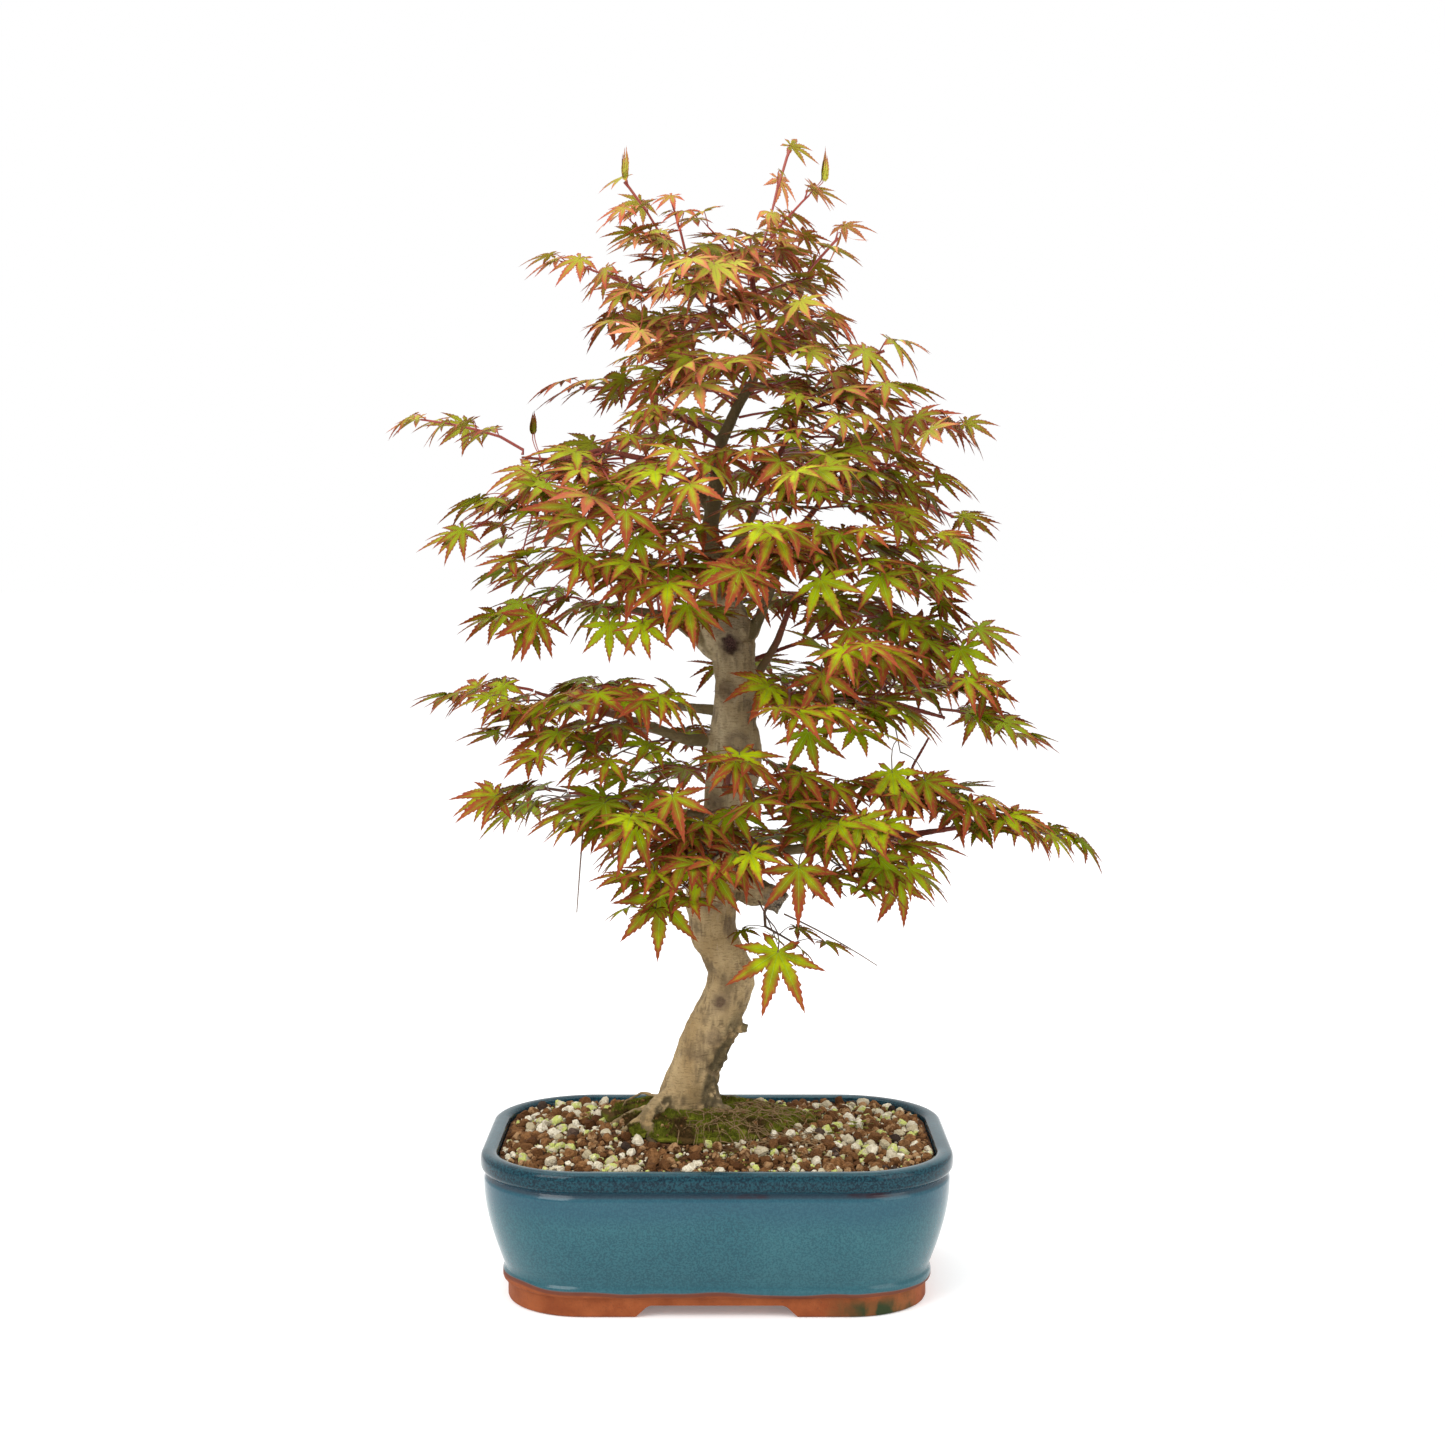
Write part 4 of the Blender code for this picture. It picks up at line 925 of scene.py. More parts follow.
# Leaves still folded like closed fans, upright at the ends of shoots: x, y, z, length, in mm.
FOLDED = (
    (-55, -5, 661, 17), (-54, -4, 660, 14), (-109, -12, 510, 13), (-108, -13, 510, 11), (62, -8, 659, 18),
    (63, -9, 658, 14),
)
for x, y, z, length in FOLDED:
    foot = place(x, y, z)
    joint, owner = nearest_twig(foot - UP * 0.008)
    ahead = (UP + Vector((shown_rng.uniform(-0.15, 0.15), -0.05, 0))).normalized()
    facing = Vector((1, shown_rng.uniform(-0.5, -0.2), 0)).normalized()
    closed = {which: (angle * 0.05, LOBE_LENGTHS[which]) for which, angle in enumerate(LOBE_ANGLES)}
    normal = (facing - ahead * facing.dot(ahead)).normalized()
    bud = Leaf(foot, ahead, normal, length * MM, 0.02, joint, shown_rng, closed)
    bud.youth = -0.2
    shoots[owner].leaves.append(bud)

# %% [markdown]
# ## Leaf and twig finishes
#
# In spring this maple's leaves open bronze and turn green from the veins outwards, so the margins and the
# tips stay red longest and the youngest leaves at the top of the tree are red all over. The blade's colour
# is worked out from where a point lies in its leaf (across from the midrib, along to the tip) and from how
# young the leaf is. Both are stored on the points, so the pattern is carved into the leaf and bends with
# it.


# %% The finishes
def leaf_finish():
    finish = Finish("maple_leaf", Specular_IOR_Level=0.05)
    across, along = finish.attribute("across"), finish.attribute("along")
    tone, youth = finish.attribute("tone"), finish.attribute("youth")
    blotch = finish.grain(90, 3.0)
    fine = finish.grain(600, 2.0)
    edge = finish.times(finish.maths("POWER", across, 1.6), 0.50)
    tip = finish.times(finish.maths("POWER", along, 1.7), 0.64)
    reach = finish.plus(edge, tip)
    mood = finish.plus(finish.times(tone, 0.42), finish.times(youth, 0.04))
    mood = finish.plus(mood, finish.times(blotch, 0.48))
    red = finish.ramp(finish.plus(reach, mood), 0.50, 1.15)
    other = finish.maths("FRACT", finish.times(tone, 7.3))
    green = finish.mix(other, (0.158, 0.220, 0.0010), (0.420, 0.500, 0.0030))
    green = finish.mix(finish.ramp(blotch, 0.35, 0.7), green, (0.190, 0.205, 0.0030))
    young_green = finish.mix(other, (0.290, 0.280, 0.0150), (0.500, 0.500, 0.0700))
    green = finish.mix(finish.ramp(youth, 0.40, 0.95), green, young_green)
    dull = finish.mix(other, (0.200, 0.031, 0.0130), (0.315, 0.059, 0.0220))
    bright = finish.mix(other, (0.400, 0.070, 0.0400), (0.700, 0.270, 0.1300))
    margin = finish.mix(finish.ramp(youth, 0.48, 0.98), dull, bright)
    colour = finish.mix(red, green, margin)
    hem = finish.ramp(finish.plus(across, finish.times(fine, 0.12)), 0.86, 1.02)
    colour = finish.mix(finish.times(hem, 0.5), colour, (0.155, 0.024, 0.018))
    slant = finish.minus(finish.times(along, 9.0), finish.times(across, 1.7))
    side_vein = finish.ramp(finish.maths("PINGPONG", slant, 0.5), 0.10, 0.0)
    midrib = finish.ramp(across, 0.10, 0.02)
    vein = finish.maths("MAXIMUM", midrib, finish.times(side_vein, 0.35))
    vein_colour = finish.mix(finish.ramp(youth, 0.4, 1.0), (0.290, 0.420, 0.050), (0.400, 0.200, 0.075))
    colour = finish.mix(finish.times(vein, 0.55), colour, vein_colour)
    finish.use("Base Color", colour)
    relief = finish.plus(finish.times(vein, -0.8), finish.times(fine, 0.3))
    finish.bump(relief, 0.0006, 0.6)
    finish.use("Roughness", finish.ramp(blotch, 0.2, 0.8, 0.42, 0.60))
    return finish.material


def stalk_finish():
    finish = Finish("leaf_stalk", Roughness=0.42, Specular_IOR_Level=0.4)
    youth = finish.attribute("youth")
    mottle = finish.grain(260, 3.0, (1, 1, 0.4))
    young = finish.mix(mottle, (0.310, 0.028, 0.030), (0.270, 0.066, 0.034))
    old = finish.mix(mottle, (0.070, 0.035, 0.022), (0.140, 0.085, 0.050))
    colour = finish.mix(finish.ramp(youth, 0.12, 0.42), old, young)
    finish.use("Base Color", colour)
    finish.bump(finish.grain(900, 2.0, (1, 1, 0.25)), 0.0002, 0.5)
    return finish.material


LEAF_FINISH = leaf_finish()
STALK_FINISH = stalk_finish()


# %% Stalks and twigs
def frames_along(path, radii):
    """A place, a direction and a size at each point of a path, with no twist between them."""
    steps = []
    up = None
    for i, (point, radius) in enumerate(zip(path, radii)):
        ahead = (path[min(i + 1, len(path) - 1)] - path[max(i - 1, 0)]).normalized()
        up = ahead.orthogonal() if up is None else up - ahead * up.dot(ahead)
        up = up.normalized()
        turn = Matrix((up.cross(ahead), up, ahead)).transposed().to_4x4()
        steps.append(Matrix.Translation(point) @ turn @ Matrix.Scale(radius, 4))
    return steps


def tube(bm, path, radii, sides):
    """A closed round bar along a path, by extruding its end again and again."""
    steps = frames_along(path, radii)
    ring = bmesh.ops.create_circle(bm, cap_ends=True, segments=sides, radius=1.0, matrix=steps[0])
    end = ring["verts"][0].link_faces[0]
    for before, after in zip(steps, steps[1:]):
        grown = bmesh.ops.extrude_face_region(bm, geom=[end])["geom"]
        moved = [item for item in grown if isinstance(item, bmesh.types.BMVert)]
        end = next(item for item in grown if isinstance(item, bmesh.types.BMFace))
        bmesh.ops.transform(bm, matrix=after @ before.inverted(), verts=moved)


def stalk_path(leaf):
    """From the joint in a soft bow down into the leaf's foot."""
    span = (leaf.foot - leaf.joint).length
    back = leaf.foot - leaf.ahead * span * 0.4 + UP * span * 0.10
    out = leaf.joint.lerp(leaf.foot, 0.4) + UP * span * 0.16
    points = []
    for i in range(6):
        t = i / 5
        points.append(leaf.joint * (1 - t) ** 3 + out * 3 * t * (1 - t) ** 2
                      + back * 3 * t * t * (1 - t) + (leaf.foot + leaf.ahead * 0.0006) * t ** 3)
    return points


STALK_SHARE = 0.0115  # a stalk's radius, as a share of its leaf's length
LEAST_STALK = 0.30  # mm
STALK_SHAPE = (1.35, 1.0, 0.9, 0.9, 1.0, 1.25)  # thicker where it joins the twig and the leaf


def make_stems(shoot):
    """The twig and the leaf stalks of one shoot, as one mesh."""
    bm = bmesh.new()
    count = len(shoot.path)
    radii = [shoot.thick + (shoot.thin - shoot.thick) * i / (count - 1) for i in range(count)]
    tube(bm, shoot.path, radii, 6)
    for leaf in shoot.leaves:
        width = max(LEAST_STALK * MM, leaf.length * STALK_SHARE)
        tube(bm, stalk_path(leaf), [width * share for share in STALK_SHAPE], 5)
    bmesh.ops.recalc_face_normals(bm, faces=bm.faces)
    for face in bm.faces:
        face.material_index = 1
    return as_mesh("stems", bm)


GREEN_BELOW, RED_ABOVE, CROWN_RADIUS = 0.24, 0.60, 0.18  # in metres


def youth_at(leaf):
    """Bronze at the top of the tree and at the ends of its boughs, green low down and inside."""
    height = (leaf.foot.z - GREEN_BELOW) / (RED_ABOVE - GREEN_BELOW)
    outwards = math.hypot(leaf.foot.x - POT_X, leaf.foot.y - POT_Y) / CROWN_RADIUS
    return min(1.0, max(0.0, 0.85 * height + 0.16 * outwards - 0.10 + leaf.youth))


def make_spray(name, group, replaced=()):
    """All twigs and leaves of one or more shoots as one piece."""
    bm = bmesh.new()
    leaves = [leaf for shoot in group for leaf in shoot.leaves]
    for _ in leaves:
        bm.from_mesh(FLAT_LEAF)
    for shoot in group:
        stems = make_stems(shoot)
        bm.from_mesh(stems)
        bpy.data.meshes.remove(stems)
    piece = new_piece(name, bm, (LEAF_FINISH, STALK_FINISH), smooth=50)
    points = per_point(piece.data)
    tone = np.zeros(len(points))
    youth = np.full(len(points), sum(youth_at(leaf) for leaf in leaves) / max(1, len(leaves)))
    for i, leaf in enumerate(leaves):
        own = slice(i * len(FLAT), (i + 1) * len(FLAT))
        points[own] = leaf.settle()
        tone[own] = leaf.tone
        youth[own] = youth_at(leaf)
    piece.data.vertices.foreach_set("co", points.ravel())
    piece.data.attributes["tone"].data.foreach_set("value", tone)
    piece.data.attributes["youth"].data.foreach_set("value", youth)
    piece.data.update()
    ride_as(piece, "leaf", *replaced)
    return len(leaves)


# %% Make the crown
total = 0
for name in SPRAY_NAMES:
    total += make_spray("maple_" + name[5:], [shoots[name]], (name,))
for region in EXTRA:
    total += make_spray("shoots_" + region,
                        [shoot for name, shoot in shoots.items() if name.startswith(f"shoot_{region}_")])
print("leaves made", total)

# %% [markdown]
# ## The trunk
#
# The frame's trunk has the right bends and thickness but flat facets. A voxel remesh turns it into an even
# skin, fine enough to carry bark, and smoothing takes the facets out. The bark itself is then pushed into
# the skin: broad lumps, fissures that run along the stem, and the marks that a grower leaves behind: healed
# cuts with a raised lip, a hollow at the fork, an eye-shaped knot low down. How thick the stem is at each
# point decides how deep the bark may be, so thin limbs stay smooth.

# %% An even skin over the frame's trunk
def reskin(name, bm, voxel, rounds):
    """A closed skin of even small faces over a bmesh, smoothed."""
    piece = add_object(name, as_mesh(name, bm))
    skin = piece.modifiers.new("skin", "REMESH")
    skin.mode = "VOXEL"
    skin.voxel_size = voxel
    even = piece.modifiers.new("even", "SMOOTH")
    even.factor = 0.5
    even.iterations = rounds
    return freeze(piece)


def freeze(piece):
    """Swap a piece's mesh for the result of its modifiers."""
    bpy.context.view_layer.update()
    shape = piece.evaluated_get(bpy.context.evaluated_depsgraph_get())
    finished = bpy.data.meshes.new_from_object(shape)
    piece.modifiers.clear()
    plain = piece.data
    piece.data = finished
    bpy.data.meshes.remove(plain)
    finished.name = piece.name
    return piece


def store(mesh, name, values):
    layer = mesh.attributes.new(name, "FLOAT", "POINT")
    layer.data.foreach_set("value", np.asarray(values, dtype=float))


# Swellings that the plain trunk leaves out: x, y, z, and half sizes across, deep and tall, in mm.
SWELLINGS = (
    (11.5, -2, 352, 13.5, 12.5, 40), (4, -3, 396, 16, 11, 20), (14, 0, 318, 13, 12.5, 30),
    (-3, -1, 402, 10, 8, 14), (24, -3, 233, 13, 8, 7), (-4, -3, 220, 14, 14, 26), (-17, -1, 99, 21, 17, 28),
)
BARK_VOXEL = 1.05
wood = merged("trunk")
for x, y, z, across, deep, tall in SWELLINGS:
    stretch = Matrix.Translation(place(x, y, z)) @ Matrix.Diagonal((across * MM, deep * MM, tall * MM, 1))
    bmesh.ops.create_icosphere(wood, subdivisions=3, radius=1.0, matrix=stretch)
trunk = reskin("maple_trunk", wood, BARK_VOXEL * MM, 8)
skin = bmesh.new()
skin.from_mesh(trunk.data)
SKIN_TREE = search_tree(skin)
bark_points = per_point(trunk.data)
bark_normals = per_point(trunk.data, "normal")
print("trunk", len(bark_points), "points", len(trunk.data.polygons), "faces")

# %% Push the bark into it
# x, y, z in mm from the middle of the pot; radius; lip; hollow, in mm
SCARS = (
    (2, -14, 170, 3.8, 1.1, 1.4), (5, -15, 357, 5.2, 1.6, 0.8), (8, -15, 385, 6.5, 1.4, 4.2),
    (-2, -14, 148, 3.0, 0.5, -0.6), (10, -10, 214, 4.0, 0.7, 0.2), (-3, -15, 232, 5.0, 0.8, -0.8),
    (12, -12, 326, 5.0, 0.9, 0.3), (-2, -13, 290, 4.5, 0.8, 0.3), (16, -4, 246, 5.5, 0.9, 0.6),
)
CUT_END = place(41, -5, 229)
BARK_DEPTH = 0.8  # a share of what is worked out below


STOUT = 0.030  # wood this thick, in metres, carries full bark
THINNEST = 0.002


def thickness_at(point, normal):
    """How far it is through the wood from a point of its skin."""
    hit, _, _, far = SKIN_TREE.ray_cast(point - normal * 0.0004, -normal)
    return far if hit else THINNEST


def soft_step(value, low, high):
    share = np.clip((value - low) / (high - low), 0, 1)
    return share * share * (3 - 2 * share)


girth = np.empty(len(bark_points))
push = np.empty(len(bark_points))
for i, (co, way) in enumerate(zip(bark_points, bark_normals)):
    spot, normal = Vector(co), Vector(way)
    girth[i] = min(1.0, thickness_at(spot, normal) / STOUT)
    lumps = noise.noise(spot * 62) * 1.1 + noise.noise(spot * 150) * 0.5
    grain_at = Vector((spot.x * 420, spot.y * 420, spot.z * 85))
    fissures = -abs(noise.noise(grain_at)) * 1.1 + noise.noise(spot * 700) * 0.18
    push[i] = lumps * min(1.0, girth[i] * 1.4) + fissures * min(1.0, girth[i] * 1.6)
scar = np.zeros(len(bark_points))
hollow = np.zeros(len(bark_points))
for x, y, z, radius, lip, depth in SCARS:
    away = np.linalg.norm(bark_points - np.array(place(x, y, z)), axis=1) / MM
    wobble = radius * (1 + 0.12 * np.sin(bark_points[:, 0] * 900 + bark_points[:, 2] * 1300))
    push += lip * np.exp(-((away - wobble) / 1.7) ** 2)
    inside = 1 - soft_step(away, wobble * 0.60, wobble * 1.05)
    push -= depth * inside
    scar = np.maximum(scar, np.exp(-((away - wobble) / 2.6) ** 2))
    hollow = np.maximum(hollow, inside * min(1, max(0, depth - 0.4) / 2.4))
# The foot of the trunk, its right side, which faces away from the key lamp and also gets painted shade in the
# bark finish, and the torn end of the stub are rough.
shaded = soft_step(bark_normals[:, 0], 0.05, 0.60) * (1 - soft_step(bark_points[:, 2], 0.150, 0.176))
foot_and_shaded_side = np.maximum(0.8 * (1 - soft_step(bark_points[:, 2], 0.095, 0.130)), shaded)
dead_wood = 1 - soft_step(np.linalg.norm(bark_points - np.array(CUT_END), axis=1), 0.008, 0.022)
ragged = np.array([noise.noise(Vector(co) * 260) for co in bark_points])
push += ragged * (2.6 * dead_wood + 1.7 * shaded + 0.9 * foot_and_shaded_side)
bark_points += bark_normals * (push * MM * BARK_DEPTH)[:, None]
trunk.data.vertices.foreach_set("co", bark_points.ravel())
cut = 1 - soft_step(np.linalg.norm(bark_points - np.array(CUT_END), axis=1), 0.008, 0.017)
# groove marks where the skin was pushed in; the bark finish paints shade there
for layer, values in (("girth", girth), ("scar", scar), ("hollow", hollow), ("cut", cut),
                      ("groove", soft_step(-push, 0.1, 1.0)), ("flare", foot_and_shaded_side)):
    store(trunk.data, layer, values)
trunk.data.update()
print("bark pushed", round(push.min(), 2), "to", round(push.max(), 2), "mm")


# %% [markdown]
# ### Bark colours
#
# Old bark low on the trunk is a warm tan with fine dark lines. Higher up it greys and its fissures show.
# Limbs and leaders are olive, and the thinnest wood is nearly as red as the leaf stalks. The ring of a
# healed cut is darker than the bark round it, and its sunken heart is painted almost black, as painted
# shade. The sunk places and the creases of the bark, and the right side of its foot, carry painted shade too.

# %% The bark finish
def bark_finish():
    finish = Finish("maple_bark", Roughness=0.78, Specular_IOR_Level=0.22)
    girth_at, groove = finish.attribute("girth"), finish.attribute("groove")
    tall = finish.along_axis("Z")
    streak = finish.grain(260, 6.0, (1, 1, 0.16), 0.62)
    blotch = finish.grain(38, 4.0, (1, 1, 0.5))
    speck = finish.grain(1100, 3.0)
    wrinkle = finish.grain(560, 4.0, (0.45, 0.45, 1.7), 0.6)
    tan = finish.mix(finish.ramp(blotch, 0.32, 0.68), (0.285, 0.187, 0.079), (0.470, 0.342, 0.176))
    grey = finish.mix(finish.ramp(blotch, 0.35, 0.65), (0.300, 0.214, 0.109), (0.550, 0.440, 0.270))
    colour = finish.mix(finish.ramp(tall, 0.21, 0.32), tan, grey)
    limb = finish.mix(finish.ramp(blotch, 0.35, 0.65), (0.115, 0.085, 0.034), (0.200, 0.150, 0.072))
    twig = finish.mix(blotch, (0.150, 0.026, 0.022), (0.230, 0.062, 0.038))
    limb = finish.mix(finish.ramp(girth_at, 0.16, 0.10), limb, twig)
    high = finish.ramp(tall, 0.39, 0.43, 0.0, 0.85)
    leader = finish.mix(high, colour, (0.165, 0.130, 0.058))
    thin = finish.times(finish.ramp(girth_at, 0.55, 0.30), finish.ramp(tall, 0.110, 0.160))
    colour = finish.mix(thin, leader, limb)
    scar, cut_at = finish.times(finish.attribute("scar"), 0.60), finish.attribute("cut")
    # painted shade: the sunken hearts of the cuts are made nearly black, the more so the deeper they are sunk
    hollow_shade = finish.mix(finish.ramp(speck, 0.35, 0.65), (0.025, 0.012, 0.010), (0.120, 0.058, 0.048))
    split = finish.ramp(finish.cells(420, (1, 1, 1), "DISTANCE_TO_EDGE"), 0.0, 0.10)
    dead = finish.mix(split, (0.060, 0.045, 0.034), (0.300, 0.240, 0.170))
    # A damp, mossy dark on the foot of the trunk and on its right side; on that side, which faces away from
    # the key lamp, it is painted shade as well.
    damp_and_shade = finish.times(finish.attribute("flare"), finish.ramp(finish.grain(110, 5.0), 0.36, 0.52))
    colour = finish.layers(
        colour,
        (finish.times(finish.ramp(streak, 0.56, 0.72), 0.45), (0.110, 0.070, 0.038)),  # dark lines
        # painted shade: the bark is darkened in the creases of its bump
        (finish.times(finish.ramp(wrinkle, 0.53, 0.66), 0.50), (0.135, 0.085, 0.042)),  # creases
        (finish.times(finish.ramp(streak, 0.40, 0.26), 0.30), (0.520, 0.430, 0.310)),  # pale lines
        # painted shade in the sunk places of the bark
        (finish.times(groove, 0.60), (0.075, 0.048, 0.028)),
        (scar, (0.110, 0.072, 0.045)),
        # painted shade in the sunken hearts of the cuts
        (finish.attribute("hollow"), hollow_shade),
        (cut_at, dead),
        # damp dark on the foot, with painted shade on the right side
        (finish.times(damp_and_shade, 0.80), (0.060, 0.047, 0.021)),
        (finish.ramp(tall, 0.100, 0.089, 0.0, 0.75), (0.050, 0.032, 0.018)),  # darker towards the soil
        (finish.ramp(speck, 0.62, 0.72, 0.0, 0.5), (0.080, 0.052, 0.032)),
    )
    finish.use("Base Color", colour)
    relief = finish.minus(finish.times(speck, 0.4), finish.times(wrinkle, 0.9))
    finish.bump(finish.plus(relief, finish.times(streak, 0.5)), 0.0016, 0.9)
    return finish.material


dress(trunk, (bark_finish(),), smooth=0)
ride_as(trunk, "bark", "trunk")

# %% [markdown]
# ## The pot
#
# The pot was pressed in a mould: its plan is a rectangle with wide round corners, and its side is one
# profile that runs round that plan. So one flat face in that plan is made first and its corners are
# bevelled; then its edge is extruded again and again, each time to the next point of the profile, up the
# outside, over the lip and down the inside. The arches between the feet and the drain holes are cut at the
# end.

# %% The pot's plan and profile
POT_WIDTH, POT_DEPTH = 280.0, 200.0
CORNER = 63.0
WALL = 9.0
RECESS = 7.0
INNER_FLOOR = 12.5
DRAIN_X, DRAIN_RADIUS = 70.0, 11.0


def belly(share):
    """How far the body stands in from the rim between the belt (0) and the groove (1)."""
    return 14.5 - 12.5 * math.sin(share * math.pi / 2)


# Each point of a profile: how far in from the rim's outline, and how high, in mm.
BODY = [(belly(i / 14), 19 + 52 * i / 14) for i in range(15)]
OUTSIDE = [(31, 7.0), (31, 0.6), (30.4, 0), (17.4, 0), (16.5, 0.4), (16.0, 1.4), (16.0, 10.8), (15.6, 11.5),
           (14.2, 11.9), (13.3, 12.5), (13.0, 13.4), (13.0, 16.6), (13.3, 17.6), (14.3, 18.3), *BODY,
           (2.2, 72.4), (3.3, 73.6), (3.9, 74.6), (3.4, 75.6), (2.0, 76.6), (0.8, 77.7), (0.2, 79.0),
           (0, 80.6), (0, 83.4), (0.3, 85.2), (1.1, 86.7), (2.4, 87.6), (4.0, 88.0), (7.0, 87.9), (9.0, 87.3),
           (10.1, 86.1), (10.5, 84.4)]
INSIDE = [(11.0, 80.0), *[(belly(i / 8) + WALL, 19 + 52 * i / 8) for i in range(7, -1, -1)],
          (24.4, 15.5), (26.5, 13.3), (30.0, INNER_FLOOR)]
bm = bmesh.new()
bmesh.ops.create_grid(bm, x_segments=1, y_segments=1, size=1.0)
bmesh.ops.scale(bm, vec=(POT_WIDTH / 2 * MM, POT_DEPTH / 2 * MM, 1), verts=bm.verts)
bmesh.ops.bevel(bm, geom=bm.verts[:], offset=CORNER * MM, segments=22, profile=0.5, material=-1,
                affect="VERTICES", offset_type="OFFSET")
print("plan", len(bm.verts), "corners", len(bm.faces), "face")


# %% Raise the pot
def plan_normal(spot):
    """The way out of the rounded rectangle at one of its points."""
    core = Vector((POT_WIDTH / 2 - CORNER, POT_DEPTH / 2 - CORNER)) * MM
    nearest = Vector((max(-core.x, min(core.x, spot.x)), max(-core.y, min(core.y, spot.y))))
    return (spot.xy - nearest).normalized()


def raise_rings(bm, profile):
    """Extrude the plan's outline from one point of the profile to the next, and close the last ring."""
    station = bm.verts.layers.int.new("station")
    outline = {}
    for number, vert in enumerate(bm.verts):
        vert[station] = number
        outline[number] = (vert.co.copy(), plan_normal(vert.co))

    def move(verts, inset, tall):
        for vert in verts:
            spot, out = outline[vert[station]]
            vert.co = Vector((spot.x - out.x * inset * MM, spot.y - out.y * inset * MM, tall * MM))

    move(bm.verts[:], *profile[0])
    edges = bm.edges[:]
    for inset, tall in profile[1:]:
        made = bmesh.ops.extrude_edge_only(bm, edges=edges)["geom"]
        edges = [item for item in made if isinstance(item, bmesh.types.BMEdge)]
        move([item for item in made if isinstance(item, bmesh.types.BMVert)], inset, tall)
    bmesh.ops.contextual_create(bm, geom=edges)


raise_rings(bm, OUTSIDE + INSIDE)
bmesh.ops.translate(bm, vec=(POT_X, POT_Y, 0), verts=bm.verts)
bmesh.ops.recalc_face_normals(bm, faces=bm.faces)


# %% Cut the arches and the drain holes
GAP_FOOT, GAP_TOP = 95.0, 79.0  # the arch's width at the table and at its top
ARCH_ROUND = 2.2
gap = bmesh.new()
bmesh.ops.create_cube(gap, size=1.0)
bmesh.ops.scale(gap, vec=(1, POT_DEPTH * 1.2 * MM, (RECESS + 8) * MM), verts=gap.verts)
bmesh.ops.translate(gap, vec=(POT_X, POT_Y, (RECESS - 8) / 2 * MM), verts=gap.verts)
for vert in gap.verts:
    width = GAP_TOP if vert.co.z > 0 else GAP_FOOT + 16
    vert.co.x = POT_X + math.copysign(width / 2 * MM, vert.co.x - POT_X)
ridges = [e for e in gap.edges if all(v.co.z > 0 for v in e.verts)
          and abs(e.verts[0].co.x - e.verts[1].co.x) < 1e-6]
bmesh.ops.bevel(gap, geom=ridges, offset=ARCH_ROUND * MM, segments=4, profile=0.5, material=-1,
                affect="EDGES")
drains = bmesh.new()
for side in (-1, 1):
    radius = DRAIN_RADIUS * MM
    bmesh.ops.create_cone(drains, cap_ends=True, segments=48, radius1=radius, radius2=radius, depth=30 * MM,
                          matrix=Matrix.Translation(place(side * DRAIN_X, 0, 10)))
tools = [add_object("arch_cutter", as_mesh("arch_cutter", gap)),
         add_object("drain_cutter", as_mesh("drain_cutter", drains))]
pot = add_object("glazed_pot", as_mesh("glazed_pot", bm))
for tool in tools:
    cut_by = pot.modifiers.new(tool.name, "BOOLEAN")
    cut_by.object = tool
    cut_by.solver = "EXACT"
freeze(pot)
for tool in tools:
    bpy.data.objects.remove(tool, do_unlink=True)
print("pot", len(pot.data.polygons), "faces")
